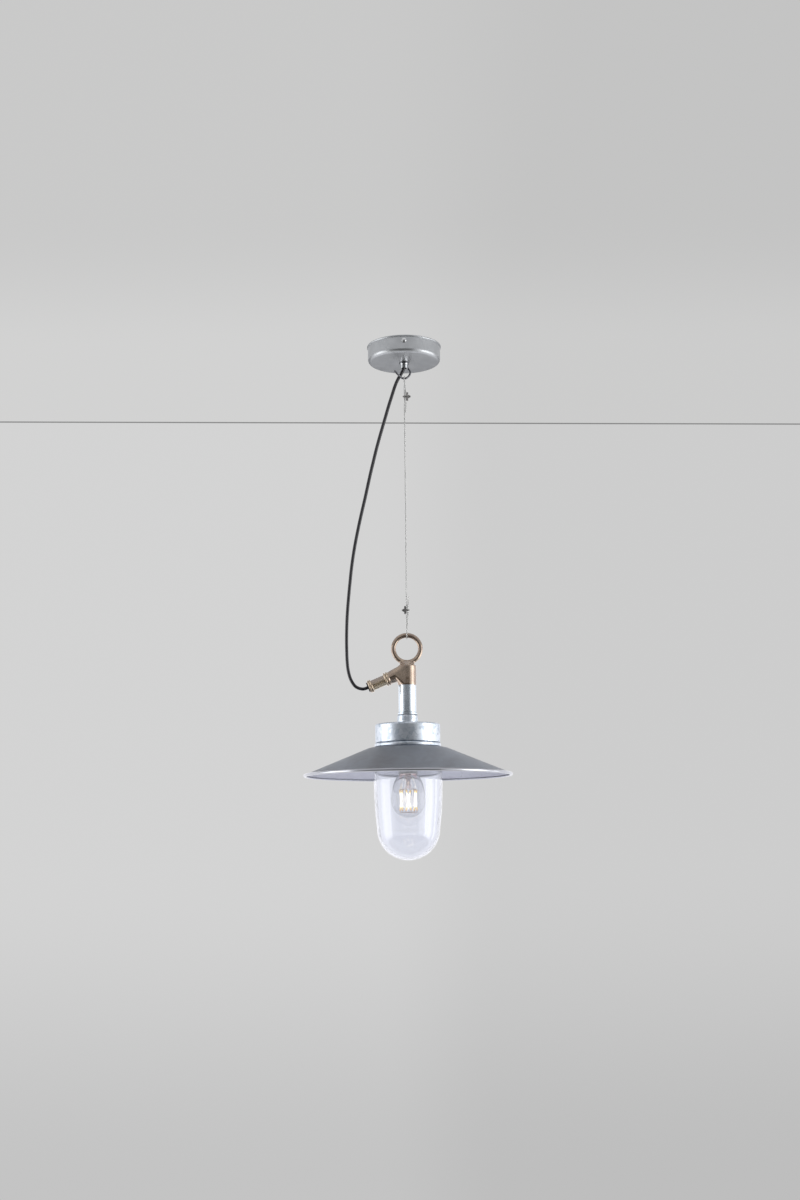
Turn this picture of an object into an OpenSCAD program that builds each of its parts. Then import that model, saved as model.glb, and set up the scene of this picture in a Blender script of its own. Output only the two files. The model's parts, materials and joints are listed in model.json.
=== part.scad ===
// Well glass pendant light on a ceiling rose. The lamp hangs by a wire rope, its flex free beside it.
// Millimetres, Z up. The origin is on the ceiling, at the centre of the rose.

/* [Ceiling rose] */
// Outside diameter of the cup
rose_d = 100; // [90:1:120]
// Depth of the cup below the ceiling
rose_h = 22.4; // [19:0.2:30]
// Sheet thickness of the cup
rose_wall = 1; // [0.8:0.1:1.5]
// Outside radius of the cup's lower corner
rose_corner = 4.5; // [3:0.5:6]
// How far the bead at the ceiling stands out from the cup
rose_bead = 1.2; // [0.8:0.1:2]
// Width of the mounting strap
strap_w = 24; // [22:1:30]
// Thickness of the mounting strap
strap_t = 1.6; // [1.2:0.1:2.5]
// Distance between the two ceiling screws
fixing_pitch = 50.8; // [48:0.1:56]
// Width of a slot for a ceiling screw
slot_w = 4.6; // [4:0.1:5.5]
// Length of a slot for a ceiling screw, end to end
slot_l = 10; // [8:0.5:12]
// Thread diameter of the cup's side screws
rose_screw_d = 3.5; // [3:0.1:4]
// Head diameter of the cup's side screws
rose_screw_head = 6; // [5.5:0.1:7]
// Depth of the side screws below the ceiling
rose_screw_z = 7.5; // [7:0.5:9]

/* [Flex outlet and hook] */
// Outside diameter of the flex nipple
nipple_d = 10; // [9:0.5:12]
// Bore of the flex nipple
nipple_bore = 7.2; // [6.5:0.1:8]
// How far the nipple reaches below the cup
nipple_drop = 7.6; // [6:0.2:13]
// Diameter of the hook's rod
hook_rod = 2.8; // [2.5:0.1:3.2]
// Depth of the hook's seat below the cup, at the middle of the rod
hook_drop = 21.6; // [20:0.2:28]

/* [Suspension] */
// Diameter of the wire rope
wire_d = 1.5; // [1:0.1:1.6]
// Distance from the hook's seat to the top of the eye, middle of rod to middle of rod
wire_span = 356.4; // [330:0.2:400]
// Distance from the hook's seat to the middle of the upper clip
clip_drop = 25; // [22:1:32]
// Distance from the top of the eye to the middle of the lower clip
clip_rise = 35; // [28:1:40]
// Height of a clip's saddle
saddle_h = 11; // [9:0.5:13]
// Rod diameter of a clip's bow
bow_d = 1.6; // [1.4:0.1:1.8]
// Diameter of the flex
flex_d = 4.5; // [4:0.1:5]

/* [Eye and tee] */
// Outside diameter of the eye
eye_d = 44.5; // [40:0.5:50]
// Rod diameter of the eye
eye_rod = 7; // [5:0.1:8]
// Outside diameter of the tee
tee_d = 26; // [25.6:0.1:30]
// Height of the tee
tee_h = 28; // [26:0.5:34]
// Slope of the branch below the horizontal, in degrees
branch_tilt = 23; // [18:1:28]
// Diameter of the branch where it leaves the tee
branch_root_d = 24; // [20:0.5:25]
// Diameter of the branch at its mouth
branch_d = 17; // [16.5:0.1:18]
// Diameter of the beads on the branch and the gland body
bead_d = 20; // [19:0.1:22]
// Thickness of one bead
bead_t = 3.1; // [2.5:0.1:3.5]

/* [Cable gland] */
// Diameter of the gland's sleeve
gland_d = 14.7; // [14.2:0.1:15.5]
// Length of the gland body from the branch to the nut
gland_l = 21.8; // [20:0.2:26]
// Diameter of the gland nut
gland_nut_d = 19; // [17:0.1:20]
// Thickness of the gland nut
gland_nut_t = 5.5; // [5:0.1:6.5]
// Diameter of the seal's flange
seal_d = 14; // [13:0.1:15]

/* [Stem and gallery] */
// Outside diameter of the stem tube
stem_d = 24.6; // [24:0.1:25.2]
// Wall of the stem tube
stem_wall = 2.6; // [2:0.1:3]
// Length of the stem tube that shows below the tee
stem_l = 37.5; // [30:0.1:60]
// Length of the stem tube inside each socket
stem_grip = 9; // [7:0.5:10]
// Thickness of the stem's locknut
locknut_t = 3.5; // [3:0.1:4.5]
// Diameter of the gallery's neck at its top
neck_d = 27.8; // [27.5:0.1:32]
// Height of the gallery's neck
neck_h = 12.4; // [12:0.1:16]
// Height of the gallery's drum
drum_h = 26.2; // [22:0.1:30]
// Thickness of the drum's roof
drum_roof = 4; // [3:0.5:5]
// Diameter of the spigot below the drum that the visor slides on
spigot_d = 84; // [80:0.5:90]
// Height of that spigot
spigot_h = 11.3; // [10.5:0.1:13]
// Wall of that spigot
spigot_wall = 3; // [2.5:0.1:4]
// How far the drum stands out over the spigot
drum_lip = 3; // [2:0.1:5]

/* [Visor] */
// Diameter of the visor over its rim
visor_d = 290; // [260:1:320]
// Drop from the visor's flat top to the middle of its rim
visor_drop = 38.3; // [34:0.1:46]
// Width of the visor's flat top outside the collar, to where its cone begins
visor_flat = 12.5; // [8:0.5:18]
// Drop of the visor's shoulder
visor_shoulder_drop = 2.4; // [2:0.1:5]
// Sheet thickness of the visor
visor_t = 1.2; // [1:0.1:1.6]
// Diameter of the wired rim
rim_d = 4.2; // [3.6:0.1:5]
// Width of the bead collar's band above the visor
collar_w = 4; // [3.5:0.1:6]
// Height of the bead collar
collar_h = 5.6; // [5:0.1:6]
// Height of the lock ring below the visor
lock_h = 3.2; // [3:0.1:3.5]

/* [Well glass] */
// Height of the glass's threaded neck
glass_neck_h = 22; // [18:0.5:26]
// How far the glass's shoulder stands out from its neck
glass_step = 8.8; // [7:0.1:10]
// How far the glass draws in from its shoulder to its round end
glass_draw = 3.8; // [2:0.1:5]
// Distance from the gasket to where the round end begins
glass_side = 107.3; // [100:0.1:120]
// Wall of the glass
glass_wall = 4; // [3:0.1:4.5]
// Thickness of the rubber gasket
gasket_t = 2.6; // [2:0.1:3.5]

/* [Lampholder and bulb] */
// Distance from the drum's roof to the top of the lampholder
holder_drop = 9.6; // [8:0.2:14]
// Diameter of the lampholder
holder_d = 39; // [37:0.5:42]
// Height of the lampholder's skirt
holder_h = 30; // [28:0.5:36]
// Diameter of the screw cap on the bulb
cap_d = 26.4; // [26:0.1:26.6]
// Height of the bulb's screw cap
cap_h = 25.5; // [24:0.1:26.5]
// Diameter of the bulb's globe
globe_d = 48; // [44:0.5:50]
// Distance from the cap's top to the middle of the globe
globe_drop = 61.5; // [58:0.5:66]
// Height of the bulb's domed top above that middle, if it had no neck
globe_rise = 42; // [40:0.5:48]
// Number of glowing filament sticks
filament_count = 6; // [4:1:8]
// Length of a filament stick
filament_l = 30; // [24:0.5:32]

/* [Hidden] */
$fn = 96;

// Clearances: threads and sliding fits on the radius, pieces that only meet, and the wire on its seats.
thread_gap = 0.1;
loose_gap = 0.3;
seat_gap = 0.35;
// Overlap that keeps a cut or a joined piece from sharing a face.
eps = 0.5;

// The strap: its ears, the wing that carries the terminal block and earth screw, and the boss for the hook
strap_len = rose_d - 2 * rose_wall - 2 * loose_gap;
ear_h = rose_screw_z + 4;
ear_w = 12;
ear_inset = 0.5;
earth_x = -strap_w / 2 - 6;
earth_screw_d = 4;
earth_head_d = 8;
earth_plate = 9;
wing_x = 38;
wing_w = 18;
shank_pos = [4, 8.5];
shank_cover = 0.6;
boss_d = 8.5;
boss_h = 4;
hook_nut_across = 7;

// The cup's side screws
rose_screw_reach = 3;
pan_h = 2.4;
pan_dome_r = 4.6;
screw_slot = [0.8, 1];

// The flex nipple, its washer and its nut
floor_z = -rose_h + rose_wall;
nut_t = 3;
nipple_nut_across = 14;
washer_t = 1.2;
washer_lip = 1.7;
nipple_lip = 1;
nipple_top = floor_z + nut_t + 1.5;
nipple_low = -rose_h - nipple_drop;

// The terminal block: its corner, size, distance between ways, and the screws along a way
block_pos = [20, -12];
block_size = [17, 24, 11];
block_way = 8;
block_bore = 4.2;
block_screw_bore = 3.4;
block_fixing_bore = 2.4;
way_screw_x = [4.5, 12.5];
way_screw_d = 2.4;
way_screw_l = 4.8;
sleeve_d = 4;
sleeve_bore = 2.8;
sleeve_l = 14;
wire_way_z = -strap_t - 5.2;
core_d = 1.8;
rose_bend_r = 8.2;

// The suspension, from the hook's seat down
hook_z = -rose_h - hook_drop;
eye_top_z = hook_z - wire_span;
eye_mid_z = eye_top_z - (eye_d - eye_rod) / 2;
upper_clip_z = hook_z - clip_drop;
lower_clip_z = eye_top_z + clip_rise;
strand_gap = wire_d + 0.5;
hook_loop_r = (hook_rod + wire_d) / 2 + seat_gap;
eye_loop_r = (eye_rod + wire_d) / 2 + seat_gap;

// The lamp's levels, each from the one above
eye_seat = 4.1;
branch_drop = 7;
tee_top = eye_mid_z - (eye_d - eye_rod) / 2 - eye_seat;
tee_low = tee_top - tee_h;
branch_z = tee_top - branch_drop;
stem_top = tee_low + stem_grip;
neck_top = tee_low - stem_l - locknut_t;
stem_low = neck_top - stem_grip;
drum_top = neck_top - neck_h;
drum_low = drum_top - drum_h;
spigot_low = drum_low - spigot_h;
tee_corner = 1.2;
drum_corner = 2.5;
drum_d = spigot_d + 2 * drum_lip;
neck_root_d = neck_d + 2;
collar_d = spigot_d + 2 * collar_w;
collar_top = drum_low - 0.7;
collar_bead = 1.8;
visor_top = collar_top - collar_h - 0.1;
lock_top = visor_top - visor_t - 0.1;
gasket_top = spigot_low - loose_gap;
glass_top = gasket_top - gasket_t - loose_gap;
glass_end_z = glass_top - glass_side + gasket_t;
glass_shoulder_r = 7;
glass_neck_d = spigot_d - 2 * spigot_wall - 2 * loose_gap;
glass_d = glass_neck_d + 2 * glass_step;
glass_end_d = glass_d - 2 * glass_draw;

// The branch, measured along its axis from the middle of the tee
mouth_s = 27.4;
blend_s = 19;
blend_d = branch_root_d + (branch_d - branch_root_d) * blend_s / mouth_s - 0.2;
bead_s = mouth_s + bead_t;
branch_bore = branch_d - 4;
gland_s = bead_s + 0.2;
gland_grip = 9.2;
gland_bore = 7;
nut_s = gland_s + gland_l;
thread_r = gland_d / 2 - 0.75;
thread_l = 3.6;
nut_end_s = nut_s + gland_nut_t;
seal_s = nut_end_s + 0.1;
seal_end_s = seal_s + 1.3;
seal_stem_r = 4.75;
seal_reach = 2;
flex_strip_s = 16;

// The eye's web, where the ring grows out of the tee
web_w = tee_d * 0.75;
web_t = eye_rod / 2;
web_h = 1.2;
web_rise = 1.5;
web_inset = 2;
tee_roof = 4;

// The lampholder and bulb, from the drum's roof down
roof_z = drum_top - drum_roof;
cover_top = roof_z - holder_drop;
cover_h = 21;
holder_top = cover_top - cover_h;
holder_nipple_d = 10;
holder_nipple_bore = 7;
holder_nipple_grip = 6;
holder_nut_across = 14;
holder_wall = 3;
holder_r = holder_d / 2;
holder_neck_r = 8.5;
holder_slope = 9;
floor_t = 4;
shell_gap = 0.25;
shell_t = 0.6;
shell_window_d = 9;
contact_d = 3.2;
rivet_d = 2.6;
holder_screw_d = 2.4;
holder_screw_head = 4.4;
terminal_pos = [9, 4];
earth_pos = [-6, 8];
cap_top = holder_top - floor_t - 6;
cap_t = 0.8;
cap_cone_h = 3;
globe_wall = 0.8;
globe_neck_r = cap_d / 2 - 1.1;
neck_reach = 4;
pinch = [8, 2.8, 5];
cap_low = cap_top - cap_h;
globe_z = cap_top - globe_drop;

// Level inside the nipple where the free flex begins
flex_top_z = -rose_h - 2.6;

// Route of the free flex at the first sizes, from inside the nipple to the mouth of the gland
flex_route = [
  [0, 0, -25], [-0.6, 0, -30], [-3.4, 0.8, -36], [-7.4, 1.8, -42], [-11, 2, -49], [-14.2, 1.4, -57.5],
  [-18.2, 0.6, -70], [-22.4, 0, -83], [-26.4, 0, -96.5], [-30.5, 0, -110], [-35.4, 0, -126.5],
  [-40, 0, -143], [-44.3, 0, -160], [-48.3, 0, -176], [-52.2, 0, -193], [-56.1, 0, -210],
  [-60, 0, -226], [-64, 0, -243], [-67.7, 0, -260], [-70.9, 0, -276], [-73.8, 0, -293],
  [-76.2, 0, -310], [-78, 0, -326], [-79.8, 0, -343], [-81.4, 0, -360], [-82.6, 0, -376],
  [-83.3, 0, -393], [-83.6, 0, -409], [-83.5, 0, -421], [-83.2, 0, -433], [-82.3, 0, -444.5],
  [-80.4, 0, -454.5], [-77.5, 0, -462.5], [-72.7, 0, -469.8], [-67.5, 0, -473], [-62, 0, -474.2],
  [-57.8, 0, -473.54], [-54.68, 0, -472.21]
];

// Route of the hook's rod below its shank, from the seat's depth
hook_route = [
  [4, 8.5, 21.5], [4.1, 8.4, 19], [5, 7.4, 16.4], [6.8, 5.6, 13.7], [8.2, 3.8, 10.4], [8.1, 2.2, 6.9],
  [6.3, 1, 3.4], [3.5, 0.2, 0.9], [0, 0, 0], [-3.5, -0.7, 0.9], [-6.6, -2.9, 2.8], [-9.4, -4.6, 5.2],
  [-12, -5.5, 7.7], [-14, -6, 9.5]
];

function unit(v) = v / norm(v);
function along(points, i) =
  unit(points[min(i + 1, len(points) - 1)] - points[max(i - 1, 0)]);

// Points on a smooth curve through the given ones, with the given number of steps between two of them
function smooth(points, steps) = [
  for (i = [0 : len(points) - 2])
    for (k = [0 : steps - 1])
      let (
        a = points[max(i - 1, 0)],
        b = points[i],
        c = points[i + 1],
        d = points[min(i + 2, len(points) - 1)],
        t = k / steps
      )
      0.5 * (2 * b + (c - a) * t + (2 * a - 5 * b + 4 * c - d) * t * t
             + (3 * b - a - 3 * c + d) * t * t * t),
  points[len(points) - 1]
];

// Half a turn of the wire round a rod along X, from one side to the other
function half_turn(z, r, first, last) = [
  for (k = [0 : 6])
    let (a = first + (last - first) * k / 6)
    [0, r * cos(a), z + r * sin(a)]
];

// A round tube along points that never run parallel to the side vector. Its ends face the given ways.
module sweep(points, d, sides, side, start_way = undef, end_way = undef) {
  n = len(points);
  function way(i) =
    i == 0 && start_way != undef ? start_way : i == n - 1 && end_way != undef ? end_way : along(points, i);
  ring = [
    for (i = [0 : n - 1])
      let (t = way(i), u = unit(cross(side, t)), w = cross(t, u))
      for (k = [0 : sides - 1])
        points[i] + d / 2 * (cos(360 * k / sides) * u + sin(360 * k / sides) * w)
  ];
  walls = [
    for (i = [0 : n - 2])
      for (k = [0 : sides - 1])
        let (a = i * sides + k, b = i * sides + (k + 1) % sides)
        each [[a, a + sides, b], [b, a + sides, b + sides]]
  ];
  first = [for (k = [0 : sides - 1]) k];
  last = [for (k = [0 : sides - 1]) (n - 1) * sides + sides - 1 - k];
  polyhedron(points = ring, faces = concat(walls, [first, last]));
}

// A round solid between two levels
module disc(d, top, low) {
  translate([0, 0, low]) cylinder(d = d, h = top - low);
}

// A ring between two levels
module hoop(d, bore, top, low) {
  difference() {
    disc(d, top, low);
    disc(bore, top + eps, low - eps);
  }
}

// Half section of a can that stands on the axis, with its lower corner rounded
module can_section(r, h, corner) {
  square([r - corner, h]);
  translate([0, corner]) square([r, h - corner]);
  translate([r - corner, corner]) circle(r = corner);
}

// A hexagon nut
module hex_nut(across, bore, top, low) {
  difference() {
    translate([0, 0, low]) cylinder(d = across / cos(30), h = top - low, $fn = 6);
    disc(bore, top + eps, low - eps);
  }
}

// Places its children with Z along the branch's axis, away from the tee
module on_branch() {
  translate([0, 0, branch_z]) rotate([0, -90 - branch_tilt, 0]) children();
}

// A point on the branch's axis
function branch_point(s) = [-s * cos(branch_tilt), 0, branch_z - s * sin(branch_tilt)];

// A bead: a flat ring with a round edge
module bead(d, t, bore, s) {
  difference() {
    union() {
      translate([0, 0, s]) cylinder(d = d - t, h = t);
      translate([0, 0, s + t / 2]) rotate_extrude() translate([(d - t) / 2, 0]) circle(d = t, $fn = 48);
    }
    translate([0, 0, s - eps]) cylinder(d = bore, h = t + 2 * eps);
  }
}

module mounting_strap() color("silver") {
  slot_run = slot_l - slot_w;
  difference() {
    union() {
      translate([-strap_w / 2, -strap_len / 2, -strap_t]) cube([strap_w, strap_len, strap_t]);
      translate([earth_x - earth_head_d / 2 - 2, -wing_w / 2, -strap_t])
        cube([wing_x - earth_x + earth_head_d / 2 + 2, wing_w, strap_t]);
      for (end = [0, 180])
        rotate([0, 0, end])
          translate([-ear_w / 2, strap_len / 2 - strap_t - ear_inset, -ear_h])
            cube([ear_w, strap_t, ear_h]);
      translate([shank_pos[0], shank_pos[1], 0]) disc(boss_d, -strap_t / 2, -strap_t - boss_h);
    }
    difference() {
      disc(3 * rose_d, eps, -strap_t - eps);
      disc(strap_len, 2 * eps, -strap_t - 2 * eps);
    }
    for (end = [-1, 1])
      translate([0, end * fixing_pitch / 2, 0]) {
        translate([-slot_w / 2, -slot_run / 2, -strap_t - eps]) cube([slot_w, slot_run, strap_t + 2 * eps]);
        for (side = [-1, 1])
          translate([0, side * slot_run / 2, 0]) disc(slot_w, eps, -strap_t - eps);
      }
    translate([shank_pos[0], shank_pos[1], 0])
      disc(hook_rod + 2 * thread_gap, -shank_cover, -strap_t - boss_h - eps);
    translate([earth_x, 0, 0]) disc(earth_screw_d + 2 * thread_gap, eps, -strap_t - eps);
    translate([0, rose_d, -rose_screw_z])
      rotate([90, 0, 0]) cylinder(d = rose_screw_d + 2 * thread_gap, h = 2 * rose_d);
  }
}

module rose_cup() color("lightslategray") {
  difference() {
    union() {
      translate([0, 0, -rose_h]) rotate_extrude() can_section(rose_d / 2, rose_h, rose_corner);
      translate([0, 0, -rose_bead])
        rotate_extrude() translate([rose_d / 2, 0]) circle(r = rose_bead, $fn = 48);
    }
    translate([0, 0, -rose_h + rose_wall])
      rotate_extrude() can_section(rose_d / 2 - rose_wall, rose_h, rose_corner - rose_wall);
    disc(nipple_d + 2 * thread_gap, 0, -rose_h - eps);
    translate([shank_pos[0], shank_pos[1], 0]) disc(hook_rod + 2 * loose_gap, 0, -rose_h - eps);
    translate([0, rose_d, -rose_screw_z])
      rotate([90, 0, 0]) cylinder(d = rose_screw_d + 2 * loose_gap, h = 2 * rose_d);
  }
}

module rose_screws() color("gainsboro") {
  shank = rose_wall + strap_t + rose_screw_reach;
  for (end = [0, 180])
    rotate([0, 0, end])
      translate([0, -rose_d / 2 - 0.1, -rose_screw_z])
        rotate([90, 0, 0]) {
          translate([0, 0, -shank]) cylinder(d = rose_screw_d, h = shank);
          difference() {
            intersection() {
              cylinder(d = rose_screw_head, h = pan_h);
              translate([0, 0, pan_h - 0.2 - pan_dome_r]) sphere(r = pan_dome_r);
            }
            translate([-rose_screw_head, -screw_slot[0] / 2, pan_h - screw_slot[1]])
              cube([2 * rose_screw_head, screw_slot[0], pan_h]);
          }
        }
}

module flex_nipple() color("gainsboro") {
  difference() {
    union() {
      disc(nipple_d, nipple_top, nipple_low);
      disc(nipple_d + 2 * nipple_lip, -rose_h - washer_t, -rose_h - washer_t - nipple_lip);
    }
    disc(nipple_bore, nipple_top + eps, nipple_low - eps);
  }
}

module nipple_washer() color("dimgray") {
  hoop(nipple_d + 2 * washer_lip, nipple_d + 2 * thread_gap, -rose_h, -rose_h - washer_t);
}

module nipple_nut() color("silver") {
  hex_nut(nipple_nut_across, nipple_d + 2 * thread_gap, floor_z + nut_t, floor_z);
}

module hook() color("dimgray") {
  top = -shank_cover - 0.2 - hook_z;
  translate([0, 0, hook_z])
    sweep(concat(
      [[shank_pos[0], shank_pos[1], top]],
      smooth(hook_route, 3)
    ), hook_rod, 16, [0, 1, 0.6], [0, 0, -1]);
}

module hook_nut() color("silver") {
  top = -strap_t - boss_h;
  translate([shank_pos[0], shank_pos[1], 0])
    hex_nut(hook_nut_across, hook_rod + 2 * thread_gap, top, top - nut_t);
}

// Places its children at each way of the terminal block, with X along the way
module at_ways() {
  for (way = [0 : 2])
    translate([block_pos[0], block_pos[1] + block_way * (way + 0.5), wire_way_z]) children();
}

module terminal_block() color("ivory") {
  bottom = -strap_t - block_size[2];
  difference() {
    translate([block_pos[0], block_pos[1], bottom]) cube(block_size);
    at_ways() {
      translate([-eps, 0, 0])
        rotate([0, 90, 0]) cylinder(d = block_bore, h = block_size[0] + 2 * eps, $fn = 32);
      for (x = way_screw_x)
        translate([x, 0, -block_size[2]]) cylinder(d = block_screw_bore, h = block_size[2], $fn = 32);
    }
    for (y = [1, 2])
      translate([block_pos[0] + block_size[0] / 2, block_pos[1] + block_way * y, bottom - eps])
        cylinder(d = block_fixing_bore, h = block_size[2] + 2 * eps, $fn = 32);
  }
}

module terminal_sleeves() color("goldenrod") {
  at_ways()
    difference() {
      translate([(block_size[0] - sleeve_l) / 2, 0, 0])
        rotate([0, 90, 0]) cylinder(d = sleeve_d, h = sleeve_l, $fn = 32);
      translate([-eps, 0, 0])
        rotate([0, 90, 0]) cylinder(d = sleeve_bore, h = block_size[0] + 2 * eps, $fn = 32);
      for (x = way_screw_x)
        translate([x, 0, -sleeve_d]) cylinder(d = way_screw_d + 2 * thread_gap, h = sleeve_d, $fn = 32);
    }
}

module terminal_screws() color("darkgoldenrod") {
  at_ways()
    for (x = way_screw_x)
      translate([x, 0, -way_screw_l])
        difference() {
          cylinder(d = way_screw_d, h = way_screw_l - core_d / 2 - 0.05, $fn = 32);
          translate([-2, -0.3, -eps]) cube([4, 0.6, eps + 0.7]);
        }
}

module earth_screw() color("goldenrod") {
  translate([earth_x, 0, 0]) {
    disc(earth_screw_d, -0.2, -strap_t - 1 - pan_h);
    difference() {
      disc(earth_head_d, -strap_t - 1, -strap_t - 1 - pan_h);
      translate([-earth_head_d, -screw_slot[0] / 2, -strap_t - 1 - pan_h - eps])
        cube([2 * earth_head_d, screw_slot[0], screw_slot[1] + eps]);
    }
    translate([-earth_plate / 2, -earth_plate / 2, -strap_t - 1]) cube([earth_plate, earth_plate, 0.9]);
  }
}

module rose_flex() color("black") {
  bend_z = wire_way_z - rose_bend_r;
  disc(flex_d, bend_z, flex_top_z);
  translate([rose_bend_r, 0, bend_z])
    rotate([90, 0, 0]) rotate([0, 0, 90])
      rotate_extrude(angle = 90) translate([rose_bend_r, 0]) circle(d = flex_d, $fn = 32);
}

// A core inside the cup, from the flex's end to one way of the terminal block
module rose_core(way, from) {
  y = block_pos[1] + block_way * (way + 0.5);
  x = block_pos[0];
  z = wire_way_z;
  points = [
    [rose_bend_r + 0.1, from[0], z + from[1]], [10.5, from[0] * 1.2, z + from[1]],
    [14.5, y * 0.55 + from[0], z + from[1] * 0.4], [x - 2, y * 0.97, z], [x + 1.5, y, z],
    [x + sleeve_l + 0.5, y, z]
  ];
  sweep(smooth(points, 3), core_d, 8, [0, 0, 1], [1, 0, 0], [1, 0, 0]);
}

module rose_live_core() color("saddlebrown") rose_core(0, [-1.1, 0.5]);
module rose_neutral_core() color("steelblue") rose_core(2, [1.1, 0.5]);
module rose_earth_core() color("yellowgreen") rose_core(1, [0, -1.2]);

// The wire: tail, loop over the hook, long run, loop through the eye, tail
module suspension_wire() color("silver") {
  s = strand_gap;
  u = upper_clip_z;
  l = lower_clip_z;
  h = saddle_h / 2;
  top_loop = half_turn(hook_z, hook_loop_r, 0, 180);
  low_loop = half_turn(eye_top_z, eye_loop_r, 180, 360);
  sweep(concat(
    [[s * 0.7, 0.4, u - h - 16], [s * 0.9, 0.2, u - h - 8], [s, 0, u - h - 1], [s, 0, u + h]],
    [[s * 0.7, hook_loop_r * 0.5, u + h + 5], [s * 0.2, hook_loop_r * 0.95, hook_z - 3.5]],
    top_loop,
    [[0, -hook_loop_r * 0.95, hook_z - 3.5], [0, -hook_loop_r * 0.5, u + h + 5], [0, 0, u + h]],
    [[0, 0, u - h], [0, 0, (u + l) / 2], [0, 0, l + h], [0, 0, l - h]],
    [[0, -eye_loop_r * 0.35, l - h - 7], [0, -eye_loop_r * 0.8, l - h - 15]],
    [[0, -eye_loop_r * 0.98, eye_top_z + 4]],
    low_loop,
    [[s * 0.2, eye_loop_r * 0.98, eye_top_z + 4], [s * 0.5, eye_loop_r * 0.8, l - h - 15]],
    [[s * 0.8, eye_loop_r * 0.35, l - h - 7], [s, 0, l - h], [s, 0, l + h + 1]],
    [[s * 1.2, 0, l + h + 7], [s * 1.7, 0, l + h + 13]]
  ), wire_d, 8, [1, 0, 0]);
}

// A wire rope clip, with the bow round the standing wire and the saddle on the tail
bow_r = (wire_d + bow_d) / 2 + 0.15;
saddle_x = strand_gap + wire_d / 2 + 0.1;
saddle_t = 2.4;
saddle_w = 2 * bow_r + bow_d + 1.6;
nut_x = saddle_x + saddle_t + 0.05;
clip_nut_t = 1.8;
leg_end = nut_x + clip_nut_t + 1.4;

module clip_saddle() {
  difference() {
    intersection() {
      translate([saddle_x, -saddle_w / 2, -saddle_h / 2]) cube([saddle_t, saddle_w, saddle_h]);
      translate([saddle_x - 1, 0, 0])
        rotate([0, 90, 0]) cylinder(d = saddle_h + 0.6, h = saddle_t + 2);
    }
    for (side = [-1, 1])
      translate([0, side * bow_r, 0])
        rotate([0, 90, 0]) cylinder(d = bow_d + 2 * thread_gap, h = 3 * saddle_x + eps, $fn = 32);
    translate([strand_gap + 0.5, 0, -saddle_h]) cylinder(d = wire_d + 0.6, h = 2 * saddle_h, $fn = 32);
  }
}

module clip_bow() {
  rotate([0, 0, 90]) rotate_extrude(angle = 180) translate([bow_r, 0]) circle(d = bow_d, $fn = 32);
  for (side = [-1, 1])
    translate([0, side * bow_r, 0]) rotate([0, 90, 0]) cylinder(d = bow_d, h = leg_end, $fn = 32);
}

module clip_nuts() {
  for (side = [-1, 1])
    translate([nut_x, side * bow_r, 0])
      rotate([0, 90, 0])
        difference() {
          cylinder(d = (2 * bow_r - 0.3) / cos(30), h = clip_nut_t, $fn = 6);
          translate([0, 0, -eps]) cylinder(d = bow_d + 2 * thread_gap, h = clip_nut_t + 2 * eps, $fn = 32);
        }
}

module at_upper_clip() translate([0, 0, upper_clip_z]) children();
module at_lower_clip() translate([strand_gap, 0, lower_clip_z]) mirror([1, 0, 0]) children();

module upper_clip_saddle() color("gray") at_upper_clip() clip_saddle();
module upper_clip_bow() color("gray") at_upper_clip() clip_bow();
module upper_clip_nuts() color("gray") at_upper_clip() clip_nuts();
module lower_clip_saddle() color("silver") at_lower_clip() clip_saddle();
module lower_clip_bow() color("silver") at_lower_clip() clip_bow();
module lower_clip_nuts() color("silver") at_lower_clip() clip_nuts();

// The route with its ends moved to the nipple and the seal, and the points between them moved in proportion
flex_last = len(flex_route) - 1;
top_shift = [0, 0, flex_top_z] - flex_route[0];
end_shift = branch_point(seal_end_s) - flex_route[flex_last];
flex_line = [
  for (i = [0 : flex_last])
    let (t = i / flex_last)
    flex_route[i] + top_shift * (1 - t) + end_shift * t
];

module flex() color("black") {
  sweep(flex_line, flex_d, 10, [0, 1, 0], [0, 0, -1], unit(branch_point(0) - branch_point(1)));
}

module eye_tee() color("rosybrown") {
  ring_low = eye_mid_z - (eye_d - eye_rod) / 2;
  difference() {
    union() {
      translate([0, 0, eye_mid_z])
        rotate([90, 0, 0])
          rotate_extrude() translate([(eye_d - eye_rod) / 2, 0]) circle(d = eye_rod, $fn = 48);
      hull() {
        disc(tee_d - 2 * web_inset, tee_top, tee_top - web_h, $fn = 48);
        translate([-web_w / 2, -web_t / 2, ring_low + web_rise]) cube([web_w, web_t, web_h]);
      }
      translate([0, 0, tee_top])
        mirror([0, 0, 1]) rotate_extrude() can_section(tee_d / 2, tee_h, tee_corner);
      hull() {
        disc(tee_d - 0.4, tee_top - tee_corner, tee_low + 0.5, $fn = 48);
        on_branch() translate([0, 0, blend_s]) cylinder(d = blend_d, h = 0.2, $fn = 48);
      }
      on_branch() {
        cylinder(d1 = branch_root_d, d2 = branch_d, h = mouth_s);
        translate([0, 0, mouth_s - 0.01]) cylinder(d = branch_d, h = bead_t / 2);
        bead(bead_d, bead_t, 1, mouth_s);
      }
    }
    disc(stem_d + 2 * thread_gap, stem_top, tee_low - eps);
    disc(stem_d - 2 * stem_wall, tee_top - tee_roof, tee_low);
    on_branch() cylinder(d = branch_bore, h = mouth_s + bead_t + eps);
  }
}

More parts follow.
